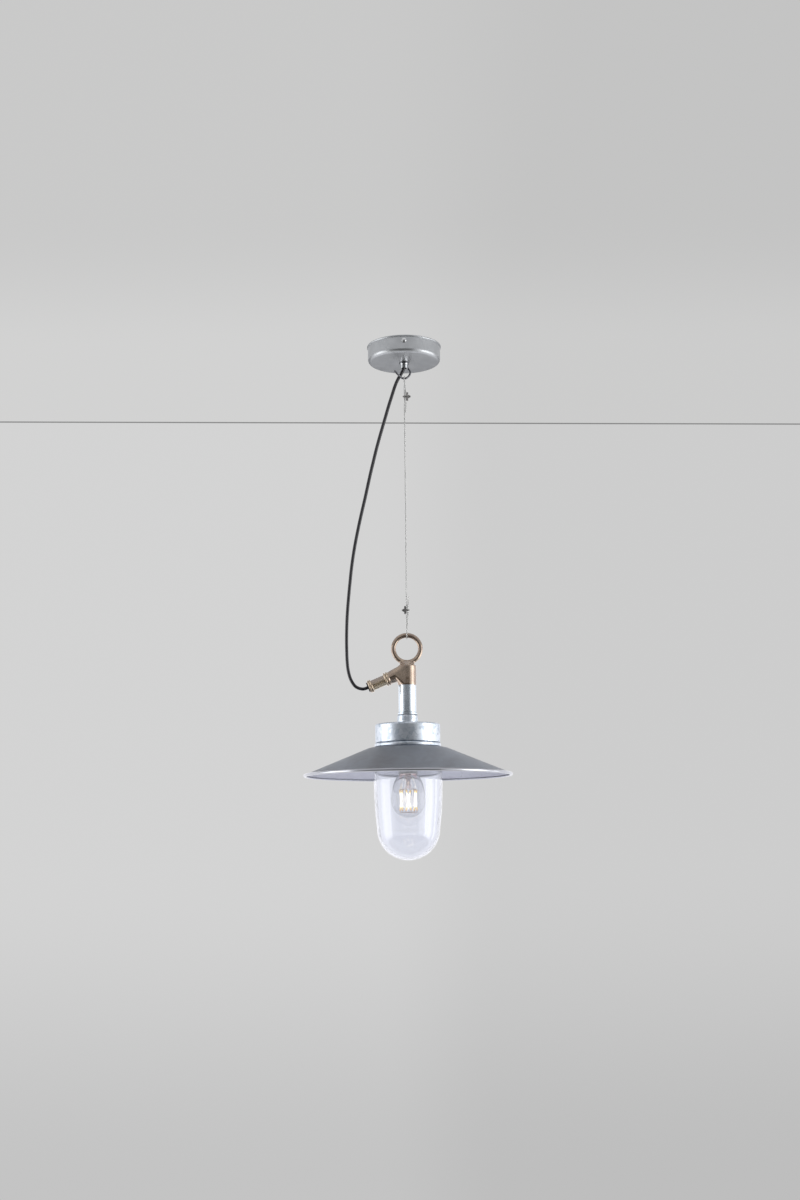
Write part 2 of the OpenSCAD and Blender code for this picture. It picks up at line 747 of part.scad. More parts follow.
module gland_body() color("tan") {
  on_branch() {
    difference() {
      union() {
        translate([0, 0, gland_s]) cylinder(d = gland_d, h = gland_l - 0.2);
        translate([0, 0, gland_s]) cylinder(d = bead_d - bead_t, h = bead_t);
        bead(bead_d, bead_t, gland_d - 2, gland_s);
        translate([0, 0, gland_s - gland_grip])
          cylinder(d = branch_bore - 2 * thread_gap, h = gland_grip + 1);
        translate([0, 0, nut_s - 1]) cylinder(r = thread_r, h = 1 + thread_l);
      }
      translate([0, 0, gland_s - gland_grip - eps]) cylinder(d = gland_bore, h = 2 * gland_l);
      translate([0, 0, nut_s - 2 * seal_reach]) cylinder(r = seal_stem_r + 0.15, h = 10);
    }
  }
}

module gland_seal() color("black") {
  on_branch()
    difference() {
      union() {
        translate([0, 0, nut_s - seal_reach])
          cylinder(r = seal_stem_r, h = seal_s - nut_s + seal_reach + 0.2);
        translate([0, 0, seal_s]) cylinder(d = seal_d, h = seal_end_s - seal_s);
      }
      translate([0, 0, nut_s - 2 * seal_reach]) cylinder(d = flex_d + 2 * thread_gap, h = 20);
    }
}

module gland_nut() color("tan") {
  half = gland_nut_t / 2;
  on_branch()
    difference() {
      union() {
        for (side = [0, 1])
          bead(gland_nut_d - side * 0.6, half, 1, nut_s + side * half);
        translate([0, 0, nut_s]) cylinder(d = gland_nut_d - half - 1, h = gland_nut_t);
      }
      translate([0, 0, nut_s - eps]) cylinder(r = thread_r + thread_gap, h = thread_l + 0.4 + eps);
      translate([0, 0, nut_s]) cylinder(r = seal_stem_r + thread_gap, h = 2 * gland_nut_t);
    }
}

module stem_tube() color("lightgray") {
  hoop(stem_d, stem_d - 2 * stem_wall, stem_top - 0.1, stem_low + 0.1);
}

module stem_locknut() color("silver") {
  hoop(stem_d + 2, stem_d + 2 * thread_gap, neck_top + locknut_t, neck_top + 0.05);
}

module gallery() color("gray") {
  difference() {
    union() {
      translate([0, 0, drum_top - 1]) cylinder(d1 = neck_root_d, d2 = neck_d, h = neck_h + 1);
      translate([0, 0, drum_top])
        mirror([0, 0, 1]) rotate_extrude() can_section(drum_d / 2, drum_h, drum_corner);
      disc(spigot_d, drum_low + 1, spigot_low);
    }
    disc(stem_d + 2 * thread_gap, neck_top + eps, stem_low);
    disc(holder_nipple_d + 2 * thread_gap, stem_low + eps, roof_z - eps);
    disc(glass_neck_d + 2 * loose_gap, roof_z, spigot_low - eps);
  }
}

module visor_collar() color("silver") {
  r = collar_d / 2;
  bore = spigot_d / 2 + thread_gap;
  translate([0, 0, collar_top - collar_h])
    rotate_extrude()
      difference() {
        union() {
          square([r - collar_bead, collar_h]);
          translate([0, collar_bead]) square([r, collar_h - 2 * collar_bead]);
          for (y = [collar_bead, collar_h - collar_bead])
            translate([r - collar_bead, y]) circle(r = collar_bead, $fn = 48);
        }
        translate([-eps, -eps]) square([bore + eps, collar_h + 2 * eps]);
      }
}

// Top line of the visor's sheet: flat seat, rounded shoulder, straight cone
seat_r = collar_d / 2 + 1.5;
shoulder_r = collar_d / 2 + visor_flat;
rim_r = (visor_d - rim_d) / 2;
visor_line = [
  [spigot_d / 2 + thread_gap, 0],
  [seat_r, 0],
  for (k = [1 : 6])
    let (t = k / 6)
    [seat_r + (shoulder_r - seat_r) * t, -visor_shoulder_drop * pow(t, 2)],
  [rim_r, -visor_drop + rim_d / 4]
];

module visor() color("slategray") {
  n = len(visor_line);
  translate([0, 0, visor_top]) {
    rotate_extrude()
      polygon(concat(
        visor_line,
        [for (i = [n - 1 : -1 : 0]) visor_line[i] - [0, visor_t * (i > 1 ? 1.06 : 1)]]
      ));
    rotate_extrude() translate([rim_r, -visor_drop]) circle(d = rim_d, $fn = 48);
  }
}

module visor_lock_ring() color("silver") {
  hoop(collar_d + 2, spigot_d + 2 * thread_gap, lock_top, lock_top - lock_h);
}

module gland_flex() color("black") {
  on_branch() translate([0, 0, flex_strip_s]) cylinder(d = flex_d, h = seal_end_s - flex_strip_s);
}

// Middle of the three cores, from the flex's end in the branch down to the lampholder's cover
core_line = [
  branch_point(flex_strip_s), branch_point(10.5), [-5, 0, branch_z - 2.6], [-2, 0, branch_z - 3.3],
  [-0.4, 0, branch_z - 6], [0, 0, branch_z - 10], [0, 0, stem_top - 12], [0, 0, stem_low],
  [0, 0, cover_top - 4], [0, 0, cover_top - 7]
];

// A core laid beside that line, offset across it and outwards in its bend, down to a terminal
module lamp_core(across, out, terminal) {
  beside = [
    for (i = [0 : len(core_line) - 1])
      core_line[i] + [0, across, 0] + out * cross(along(core_line, i), [0, 1, 0])
  ];
  inside_cover = [
    [out * 0.6 + terminal[0] * 0.3, across * 0.6 + terminal[1] * 0.3, cover_top - 10.5],
    [terminal[0] * 0.85, terminal[1] * 0.85, holder_top + 6],
    [terminal[0], terminal[1], holder_top + 3.4],
    [terminal[0], terminal[1], holder_top + 1.9]
  ];
  sweep(smooth(concat(beside, inside_cover), 3), core_d, 8, [0.3, 1, 0], undef, [0, 0, -1]);
}

module lamp_live_core() color("saddlebrown") lamp_core(-1.1, 0.7, -terminal_pos);
module lamp_neutral_core() color("steelblue") lamp_core(1.1, 0.7, terminal_pos);
module lamp_earth_core() color("yellowgreen") lamp_core(0, -1.3, earth_pos);

module holder_nipple() color("silver") {
  hoop(holder_nipple_d, holder_nipple_bore, stem_low - 0.2, cover_top - holder_nipple_grip);
}

module holder_nut() color("silver") {
  hex_nut(holder_nut_across, holder_nipple_d + 2 * thread_gap, roof_z, roof_z - nut_t);
}

module holder_cover() color("saddlebrown") {
  slope_low = cover_h - holder_slope - holder_nipple_grip;
  inside_r = holder_r - holder_wall;
  translate([0, 0, holder_top])
    rotate_extrude()
      difference() {
        polygon([
          [0, 0], [holder_r, 0], [holder_r, slope_low], [holder_neck_r, cover_h - holder_nipple_grip],
          [holder_neck_r, cover_h], [0, cover_h]
        ]);
        polygon([
          [-eps, -eps], [inside_r, -eps], [inside_r, slope_low - 1.5],
          [holder_neck_r - 1, cover_h - holder_nipple_grip - 2], [-eps, cover_h - holder_nipple_grip - 2]
        ]);
        translate([-eps, 0]) square([holder_nipple_d / 2 + thread_gap + eps, 2 * cover_h]);
      }
}

module holder_skirt() color("saddlebrown") {
  difference() {
    disc(holder_d, holder_top - 0.1, holder_top - holder_h);
    disc(cap_d + 2 * shell_gap + 2 * shell_t + 1.9, holder_top - floor_t, holder_top - holder_h - eps);
    disc(contact_d + 2 * thread_gap, holder_top + eps, holder_top - floor_t - eps);
    for (side = [-1, 1])
      translate([side * terminal_pos[0], side * terminal_pos[1], 0])
        disc(rivet_d, holder_top + eps, holder_top - floor_t - eps);
  }
}

module holder_shell() color("goldenrod") {
  bore = cap_d + 2 * shell_gap;
  top = holder_top - floor_t - 0.1;
  difference() {
    disc(bore + 2 * shell_t, top, holder_top - holder_h + 3);
    disc(bore, top - shell_t, holder_top - holder_h - eps);
    disc(shell_window_d, top + eps, top - 2);
    for (side = [-1, 1])
      translate([side * terminal_pos[0], side * terminal_pos[1], 0]) disc(rivet_d, top + eps, top - 2);
  }
}

module holder_contact() color("goldenrod") {
  top = holder_top - floor_t;
  disc(contact_d, holder_top + 0.4, top - 3);
  translate([-3, -2, top - 3.6]) cube([6, 4, 0.7]);
  disc(5, top - 3.5, cap_top + 1.45);
}

module holder_screws() color("silver") {
  for (side = [-1, 1])
    translate([side * terminal_pos[0], side * terminal_pos[1], 0]) {
      disc(holder_screw_head, holder_top + 1.1, holder_top);
      disc(holder_screw_d, holder_top + 0.2, holder_top - floor_t + 0.2);
    }
}

module glass_gasket() color("black") {
  hoop(spigot_d + 2, glass_neck_d + 2 * loose_gap, gasket_top, gasket_top - gasket_t);
}

// Points on an arc about a centre, in steps of about 6 degrees
function arc(centre, r, from, to) = [
  for (k = [0 : ceil(abs(to - from) / 6)])
    let (a = from + (to - from) * k / ceil(abs(to - from) / 6))
    centre + r * [cos(a), sin(a)]
];

// Half line of the glass below its neck, drawn in by the given amount: shoulder, side, round end
function glass_line(inset) =
  let (r = glass_d / 2, end_r = glass_end_d / 2, side_z = glass_top - glass_side * 0.47)
  concat(
    arc([r - glass_shoulder_r, glass_top - glass_shoulder_r], glass_shoulder_r - inset * 0.6, 90, 0),
    [[r - inset, side_z], [(r + end_r) / 2 + 0.8 - inset, (side_z + glass_end_z) / 2]],
    arc([0, glass_end_z], end_r - inset, 0, -90)
  );

module well_glass() color("lightblue", 0.4) {
  neck_r = glass_neck_d / 2;
  neck_top = glass_top + gasket_t + glass_neck_h;
  rotate_extrude()
    difference() {
      polygon(concat([[0, neck_top], [neck_r, neck_top], [neck_r, glass_top]], glass_line(0)));
      polygon(concat(
        [[0, neck_top + eps], [neck_r - glass_wall, neck_top + eps], [neck_r - glass_wall, glass_top - 1]],
        glass_line(glass_wall)
      ));
    }
}

// Half line of the bulb's glass, drawn in by the given amount: neck in the cap, domed top, round foot
function globe_line(inset) =
  let (
    neck_r = globe_neck_r - inset, neck_z = cap_low - globe_z, rim_z = neck_z + neck_reach + inset,
    r = globe_d / 2 - inset, rise = globe_rise - inset, from = acos((neck_r + 0.7) / r)
  )
  concat(
    [[0, rim_z], [neck_r, rim_z], [neck_r, neck_z - 0.6]],
    [for (k = [0 : 9]) [r * cos(from * (1 - k / 10)), rise * sin(from * (1 - k / 10))]],
    arc([0, 0], r, 0, -90)
  );

module bulb_globe() color("white", 0.4) {
  translate([0, 0, globe_z])
    rotate_extrude()
      difference() {
        polygon(globe_line(0));
        polygon(globe_line(globe_wall));
      }
}

module bulb_cap() color("gainsboro") {
  difference() {
    union() {
      disc(cap_d, cap_top - cap_cone_h, cap_low);
      translate([0, 0, cap_top - cap_cone_h]) cylinder(d1 = cap_d, d2 = cap_d - 8, h = 2.4);
    }
    disc(cap_d - 2 * cap_t, cap_top - cap_cone_h - 0.6, cap_low - eps);
    disc(cap_d - 9.6, cap_top + eps, cap_top - 5);
  }
}

module bulb_cap_glass() color("black") {
  difference() {
    translate([0, 0, cap_top - 2.4]) cylinder(d1 = cap_d - 9.8, d2 = 11, h = 2.9);
    disc(2, cap_top + 1, cap_top - 3);
  }
}

module bulb_contact() color("silver") {
  disc(9, cap_top + 1.35, cap_top + 0.5);
  disc(1.9, cap_top + 0.6, cap_top - 2);
}

module bulb_stem() color("white", 0.5) {
  rim = cap_low + neck_reach + 0.05;
  low = globe_z + filament_l / 2 + 1;
  flare_r = globe_neck_r - 0.2;
  translate([0, 0, rim]) cylinder(r1 = flare_r, r2 = flare_r - 1, h = 1.5);
  translate([0, 0, low + pinch[2] - 1]) cylinder(r1 = 2.6, r2 = 4.6, h = rim - low - pinch[2] + 1.5);
  translate([-pinch[0] / 2, -pinch[1] / 2, low]) cube(pinch);
}

// Radius of the filament cage, and the angle that each stick leans round it
cage_r = 12;
cage_lean = 32;
stick_d = 1.8;

function on_cage(angle, z) = [cage_r * cos(angle), cage_r * sin(angle), z];
function stick_angle(k) = 360 * (k + 0.25) / filament_count;
function stick_top(k) = on_cage(stick_angle(k), globe_z + filament_l / 2 - 1);
function stick_low(k) = on_cage(stick_angle(k) + cage_lean, globe_z - filament_l / 2 + 1);

// A straight round rod between two points
module rod(a, b, d) {
  v = b - a;
  translate(a)
    rotate([0, acos(v[2] / norm(v)), atan2(v[1], v[0])])
      cylinder(d = d, h = norm(v), $fn = 24);
}

module bulb_filaments() color("gold") {
  for (k = [0 : filament_count - 1])
    rod(stick_top(k), stick_low(k), stick_d);
}

module bulb_wires() color("dimgray") {
  low = globe_z - filament_l / 2 - 1.2;
  translate([0, 0, low]) rotate_extrude() translate([cage_r, 0]) circle(d = 0.7, $fn = 24);
  for (k = [0 : filament_count - 1]) {
    rod(stick_low(k) - [0, 0, 0.3], [stick_low(k)[0], stick_low(k)[1], low], 0.6);
    rod([stick_top(k)[0] * 0.5, 0, globe_z + filament_l / 2 + 0.6], stick_top(k) + [0, 0, 0.35], 0.6);
  }
}

mounting_strap();
rose_cup();
rose_screws();
flex_nipple();
nipple_washer();
nipple_nut();
hook();
hook_nut();
terminal_block();
terminal_sleeves();
terminal_screws();
earth_screw();
rose_flex();
rose_live_core();
rose_neutral_core();
rose_earth_core();
suspension_wire();
upper_clip_saddle();
upper_clip_bow();
upper_clip_nuts();
lower_clip_saddle();
lower_clip_bow();
lower_clip_nuts();
flex();
eye_tee();
gland_body();
gland_seal();
gland_nut();
stem_tube();
stem_locknut();
gallery();
visor_collar();
visor();
visor_lock_ring();
gland_flex();
lamp_live_core();
lamp_neutral_core();
lamp_earth_core();
holder_nipple();
holder_nut();
holder_cover();
holder_skirt();
holder_shell();
holder_contact();
holder_screws();
glass_gasket();
well_glass();
bulb_globe();
bulb_cap();
bulb_cap_glass();
bulb_contact();
bulb_stem();
bulb_wires();
bulb_filaments();
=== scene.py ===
"""Looks of the well glass pendant light, in metres, in the part's own frame."""

import json
import math

import bpy
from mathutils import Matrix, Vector

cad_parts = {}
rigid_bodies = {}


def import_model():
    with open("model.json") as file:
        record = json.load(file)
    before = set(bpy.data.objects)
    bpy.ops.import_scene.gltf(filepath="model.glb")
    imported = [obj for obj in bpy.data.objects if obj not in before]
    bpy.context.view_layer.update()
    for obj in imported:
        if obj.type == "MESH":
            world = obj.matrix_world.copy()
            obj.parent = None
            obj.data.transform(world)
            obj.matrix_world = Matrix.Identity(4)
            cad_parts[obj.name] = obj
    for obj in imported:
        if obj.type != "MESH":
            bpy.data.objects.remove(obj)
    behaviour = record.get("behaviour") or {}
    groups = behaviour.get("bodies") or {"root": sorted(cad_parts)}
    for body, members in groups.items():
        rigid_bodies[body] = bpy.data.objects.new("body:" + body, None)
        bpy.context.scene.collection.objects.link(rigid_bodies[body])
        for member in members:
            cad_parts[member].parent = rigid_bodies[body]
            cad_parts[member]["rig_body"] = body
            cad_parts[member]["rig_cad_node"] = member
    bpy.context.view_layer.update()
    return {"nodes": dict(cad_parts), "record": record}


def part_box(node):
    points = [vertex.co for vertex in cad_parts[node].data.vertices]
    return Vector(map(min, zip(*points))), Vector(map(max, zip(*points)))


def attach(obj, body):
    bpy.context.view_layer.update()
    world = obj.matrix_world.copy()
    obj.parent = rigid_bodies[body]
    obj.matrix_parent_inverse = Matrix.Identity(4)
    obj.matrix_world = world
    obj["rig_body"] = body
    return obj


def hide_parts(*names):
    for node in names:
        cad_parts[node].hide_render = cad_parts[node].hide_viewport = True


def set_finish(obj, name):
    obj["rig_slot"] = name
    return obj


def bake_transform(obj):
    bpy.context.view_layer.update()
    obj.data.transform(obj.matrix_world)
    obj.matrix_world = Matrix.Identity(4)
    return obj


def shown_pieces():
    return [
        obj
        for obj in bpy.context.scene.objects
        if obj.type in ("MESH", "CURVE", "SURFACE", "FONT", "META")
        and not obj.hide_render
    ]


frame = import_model()
nodes = frame["nodes"]
scene = bpy.context.scene
scene.view_settings.view_transform = "Standard"
MM = 0.001

# The photograph: a level camera, with its view shifted up and turned a little about its own axis.
LONG_SIDE_PX = 1200
FOCAL_PX = 1535
HORIZON_PX = 855
SENSOR_MM = 36
CAMERA_AT = (-0.0124, -2.130, -0.705)
CAMERA_ROLL = 0.57
CAMERA_NEAR = 0.01
CAMERA_FAR = 50

camera_data = bpy.data.cameras.new("camera")
camera = bpy.data.objects.new("camera", camera_data)
scene.collection.objects.link(camera)
camera_data.sensor_width = SENSOR_MM
camera_data.lens = SENSOR_MM * FOCAL_PX / LONG_SIDE_PX
camera_data.shift_y = (HORIZON_PX - LONG_SIDE_PX / 2) / LONG_SIDE_PX
camera_data.clip_start = CAMERA_NEAR
camera_data.clip_end = CAMERA_FAR
camera.location = CAMERA_AT
camera.rotation_euler = (math.radians(90), math.radians(CAMERA_ROLL), 0)
scene.camera = camera

# Edges that turn by more degrees than the creases stay sharp, and points nearer than the welds become one.
# A turned piece grows from a seed of that size, and each round of softening moves a casting by that share.
TUBE_CREASE = 40
ROD_CREASE = 50
TURNED_CREASE = 38
TURNED_WELD = 0.002 * MM
SOLID_WELD = 0.001 * MM
SEED_SIZE = 0.1 * MM
CAST_SOFTENING = 0.5


def smooth_line(points, steps):
    """Points on a smooth curve through the given ones, with so many steps between each two."""
    line = []
    last = len(points) - 1
    for i in range(last):
        a = Vector(points[max(i - 1, 0)])
        b = Vector(points[i])
        c = Vector(points[i + 1])
        d = Vector(points[min(i + 2, last)])
        for t in [k / steps for k in range(steps)]:
            squared = (2 * a - 5 * b + 4 * c - d) * t**2
            cubed = (3 * b - a - 3 * c + d) * t**3
            line.append(0.5 * (2 * b + (c - a) * t + squared + cubed))
    line.append(Vector(points[last]))
    return line


def deselect_all():
    if bpy.context.object and bpy.context.object.mode == "EDIT":
        bpy.ops.object.mode_set(mode="OBJECT")
    bpy.ops.object.select_all(action="DESELECT")


def only(piece):
    """Makes the piece the one selected and active object."""
    deselect_all()
    piece.select_set(True)
    bpy.context.view_layer.objects.active = piece


def tube_along(name, points, radius, sides):
    """A closed round tube along the points, as a mesh."""
    curve = bpy.data.curves.new(name, "CURVE")
    curve.dimensions = "3D"
    curve.bevel_depth = radius
    curve.bevel_resolution = (sides - 4) // 2
    curve.use_fill_caps = True
    spline = curve.splines.new("POLY")
    spline.points.add(len(points) - 1)
    for point, at in zip(spline.points, points):
        point.co = (*at, 1)
    piece = bpy.data.objects.new(name, curve)
    scene.collection.objects.link(piece)
    only(piece)
    bpy.ops.object.convert(target="MESH")
    bpy.ops.object.shade_smooth_by_angle(angle=math.radians(TUBE_CREASE))
    return bpy.context.object


# The free flex, along the route of the part's source, as two lengths that meet at one of its points.
FLEX_D = 4.5 * MM
FLEX_ROUTE = [
    (0, 0, -25), (-0.6, 0, -30), (-3.4, 0.8, -36), (-7.4, 1.8, -42), (-11, 2, -49), (-14.2, 1.4, -57.5),
    (-18.2, 0.6, -70), (-22.4, 0, -83), (-26.4, 0, -96.5), (-30.5, 0, -110), (-35.4, 0, -126.5),
    (-40, 0, -143), (-44.3, 0, -160), (-48.3, 0, -176), (-52.2, 0, -193), (-56.1, 0, -210),
    (-60, 0, -226), (-64, 0, -243), (-67.7, 0, -260), (-70.9, 0, -276), (-73.8, 0, -293),
    (-76.2, 0, -310), (-78, 0, -326), (-79.8, 0, -343), (-81.4, 0, -360), (-82.6, 0, -376),
    (-83.3, 0, -393), (-83.6, 0, -409), (-83.5, 0, -421), (-83.2, 0, -433), (-82.3, 0, -444.5),
    (-80.4, 0, -454.5), (-77.5, 0, -462.5), (-72.7, 0, -469.8), (-67.5, 0, -473), (-62, 0, -474.2),
    (-57.8, 0, -473.54), (-54.68, 0, -472.21),
]
FLEX_STEPS = 4
FLEX_SIDES = 20
FLEX_SPLIT = 17 * FLEX_STEPS


def hang_flex(name, line):
    """One length of the flex, as a round tube from its start point to its end point."""
    piece = tube_along(name, line, FLEX_D / 2, FLEX_SIDES)
    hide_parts("flex")
    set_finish(piece, "flex_black")
    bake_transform(piece)


flex_line = smooth_line([Vector(p) * MM for p in FLEX_ROUTE], FLEX_STEPS)
upper_line = flex_line[: FLEX_SPLIT + 1]
lower_line = flex_line[FLEX_SPLIT:]
hang_flex("flex_upper", upper_line)
hang_flex("flex_lower", lower_line)

# The wire rope: its tail, the loop over the hook, the long run, the loop through the eye and the lower tail.
# Its route is in millimetres, and a clip reaches half its height above and below its level.
HOOK_Z = -44.0
EYE_TOP_Z = -400.4
UPPER_CLIP_Z = -69.0
LOWER_CLIP_Z = -365.4
CLIP_HALF = 5.5
TAIL_GAP = 2.0
HOOK_LOOP_R = 2.5
EYE_LOOP_R = 4.6
HALF_TURN_STEPS = 6
STRANDS = 6
STRAND_R = 0.26 * MM
STRAND_SIDES = 6
STRAND_OUT = 0.48 * MM
STRAND_PITCH = 9 * MM
STRAND_STEP = 0.8 * MM


def half_turn(z, r, first, last):
    """Half a turn of the wire round a rod along X."""
    angles = [math.radians(first + (last - first) * k / HALF_TURN_STEPS) for k in range(HALF_TURN_STEPS + 1)]
    return [(0, r * math.cos(a), z + r * math.sin(a)) for a in angles]


def wire_route():
    """The wire's middle line. Its tails lie beside the long run, below the upper clip and above the lower."""
    gap, hook_r, eye_r = TAIL_GAP, HOOK_LOOP_R, EYE_LOOP_R
    upper_top, upper_foot = UPPER_CLIP_Z + CLIP_HALF, UPPER_CLIP_Z - CLIP_HALF
    lower_top, lower_foot = LOWER_CLIP_Z + CLIP_HALF, LOWER_CLIP_Z - CLIP_HALF
    over_hook = (
        [(gap * 0.7, hook_r * 0.5, upper_top + 5), (gap * 0.2, hook_r * 0.95, HOOK_Z - 3.5)]
        + half_turn(HOOK_Z, hook_r, 0, 180)
        + [(0, -hook_r * 0.95, HOOK_Z - 3.5), (0, -hook_r * 0.5, upper_top + 5)]
    )
    through_eye = (
        [(0, -eye_r * 0.35, lower_foot - 7), (0, -eye_r * 0.8, lower_foot - 15)]
        + [(0, -eye_r * 0.98, EYE_TOP_Z + 4)]
        + half_turn(EYE_TOP_Z, eye_r, 180, 360)
        + [(gap * 0.2, eye_r * 0.98, EYE_TOP_Z + 4)]
        + [(gap * 0.5, eye_r * 0.8, lower_foot - 15), (gap * 0.8, eye_r * 0.35, lower_foot - 7)]
    )
    middle = (UPPER_CLIP_Z + LOWER_CLIP_Z) / 2
    return (
        [(gap * 0.7, 0.4, upper_foot - 16), (gap * 0.9, 0.2, upper_foot - 8)]
        + [(gap, 0, upper_foot - 1), (gap, 0, upper_top)]
        + over_hook
        + [(0, 0, z) for z in (upper_top, upper_foot, middle, lower_top, lower_foot)]
        + through_eye
        + [(gap, 0, lower_foot), (gap, 0, lower_top + 1)]
        + [(gap * 1.2, 0, lower_top + 7), (gap * 1.7, 0, lower_top + 13)]
    )


def even_line(points, step):
    """The same line with points an even step apart."""
    out = [Vector(points[0])]
    spare = 0.0
    for a, b in zip(points, points[1:]):
        a, b = Vector(a), Vector(b)
        run = (b - a).length
        at = step - spare
        while at <= run:
            out.append(a.lerp(b, at / run))
            at += step
        spare = run - (at - step)
    return out


def strand_lines(line):
    """Lines that wind round the given one, from a frame that doesn't twist along it."""
    side = Vector((1, 0, 0))
    strands = [[] for _ in range(STRANDS)]
    for i, at in enumerate(line):
        way = (line[min(i + 1, len(line) - 1)] - line[max(i - 1, 0)]).normalized()
        side = (side - way * side.dot(way)).normalized()
        across = way.cross(side)
        for k, strand in enumerate(strands):
            turn = 2 * math.pi * (i * STRAND_STEP / STRAND_PITCH + k / STRANDS)
            strand.append(at + STRAND_OUT * (math.cos(turn) * side + math.sin(turn) * across))
    return strands


def stranded_wire(name, line):
    """All the strands along the line, joined as one piece."""
    strands = [
        tube_along(f"strand_{k}", strand, STRAND_R, STRAND_SIDES)
        for k, strand in enumerate(strand_lines(line))
    ]
    deselect_all()
    for strand in strands:
        strand.select_set(True)
    bpy.context.view_layer.objects.active = strands[0]
    bpy.ops.object.join()
    bpy.context.object.name = name
    return bpy.context.object


def stands_for(piece, body, node, slot):
    """Says what a piece rides on and which finish it takes, and hides the node it stands for."""
    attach(piece, body)
    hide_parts(node)
    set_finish(piece, slot)


wire_line = even_line([Vector(p) * MM for p in wire_route()], STRAND_STEP)
wire_rope = stranded_wire("wire_rope", wire_line)
stands_for(wire_rope, "suspension", "suspension_wire", "wire_rope")

# Pieces that are finer than their solids, with outlines in millimetres, as in the part's source.
# The hook's route starts at its nut, and each pass at its tip has the share it keeps and its reach in radii.
HOOK_ROD = 2.8 * MM
HOOK_ROUTE = [
    (4, 8.5, 43.2), (4, 8.5, 30), (4, 8.5, 21.5), (4.1, 8.4, 19), (5, 7.4, 16.4), (6.8, 5.6, 13.7),
    (8.2, 3.8, 10.4), (8.1, 2.2, 6.9), (6.3, 1, 3.4), (3.5, 0.2, 0.9), (0, 0, 0), (-3.5, -0.7, 0.9),
    (-6.6, -2.9, 2.8), (-9.4, -4.6, 5.2), (-12, -5.5, 7.7), (-13.6, -5.9, 9.15),
]
HOOK_STEPS = 6
HOOK_SIDES = 24
HOOK_TIP = ((0.92, 0.3), (0.78, 0.25), (0.55, 0.2))


def bent_rod(name, points, radius):
    """A bent round rod with a rounded tip."""
    rod = tube_along(name, smooth_line(points, HOOK_STEPS), radius, HOOK_SIDES)
    tip = Vector(points[-1])
    way = (tip - Vector(points[-2])).normalized()
    only(rod)
    bpy.ops.object.mode_set(mode="EDIT")
    bpy.ops.mesh.select_all(action="DESELECT")
    bpy.ops.object.mode_set(mode="OBJECT")
    for face in rod.data.polygons:
        face.select = len(face.vertices) > 4 and (Vector(face.center) - tip).length < radius / 2
    bpy.ops.object.mode_set(mode="EDIT")
    for share, reach in HOOK_TIP:
        move = way * radius * reach
        bpy.ops.mesh.extrude_region_move(TRANSFORM_OT_translate={"value": move})
        bpy.ops.transform.resize(value=(share, share, share), center_override=tuple(tip + move))
    bpy.ops.object.mode_set(mode="OBJECT")
    bpy.ops.object.shade_smooth_by_angle(angle=math.radians(ROD_CREASE))
    return rod


def arc_points(centre, radius, first, last, step=4.0):
    """Points on an arc between two angles, at most a step apart, in degrees."""
    count = max(2, math.ceil(abs(last - first) / step))
    angles = [math.radians(first + (last - first) * k / count) for k in range(count + 1)]
    return [(centre[0] + radius * math.cos(a), centre[1] + radius * math.sin(a)) for a in angles]


def turned(name, outline, steps):
    """A round piece: a half outline in millimetres, drawn point by point and spun about the lamp's axis."""
    points = [Vector((r * MM, 0, z * MM)) for r, z in outline]
    deselect_all()
    bpy.ops.mesh.primitive_plane_add(size=SEED_SIZE, location=points[0])
    piece = bpy.context.object
    piece.name = name
    bpy.ops.object.mode_set(mode="EDIT")
    bpy.ops.mesh.select_all(action="SELECT")
    bpy.ops.mesh.merge(type="CENTER")
    for start, end in zip(points, points[1:] + points[:1]):
        bpy.ops.mesh.extrude_vertices_move(TRANSFORM_OT_translate={"value": end - start})
    bpy.ops.mesh.select_all(action="SELECT")
    bpy.ops.mesh.remove_doubles(threshold=TURNED_WELD)
    bpy.ops.mesh.spin(steps=steps, angle=2 * math.pi, center=(0, 0, 0), axis=(0, 0, 1))
    bpy.ops.mesh.select_all(action="SELECT")
    bpy.ops.mesh.remove_doubles(threshold=TURNED_WELD)
    bpy.ops.mesh.normals_make_consistent(inside=False)
    bpy.ops.object.mode_set(mode="OBJECT")
    bpy.ops.object.transform_apply(location=True, rotation=True, scale=True)
    bpy.ops.object.shade_smooth_by_angle(angle=math.radians(TURNED_CREASE))
    return piece


# The visor: heights of its outline are from its top, and its underside is the same line a sheet lower, which
# measures a little more downwards where the sheet slopes.
VISOR_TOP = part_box("visor")[1].z / MM
VISOR_SHEET = 1.2
VISOR_SHEET_SLOPED = 1.06 * VISOR_SHEET
VISOR_BORE_R = 42.1
VISOR_SEAT_R = 47.5
VISOR_SHOULDER = (58.5, -2.4)
VISOR_SHOULDER_STEPS = 12
VISOR_CONE_END = -37.25
VISOR_CONE_STEPS = 10
VISOR_RIM = (142.9, -38.3)
VISOR_RIM_R = 2.1
VISOR_RIM_ARC = (128, -196, 15)
TOP_JOINS_RIM = 1.35
UNDERSIDE_JOINS_RIM = 2.2
VISOR_SIDES = 192


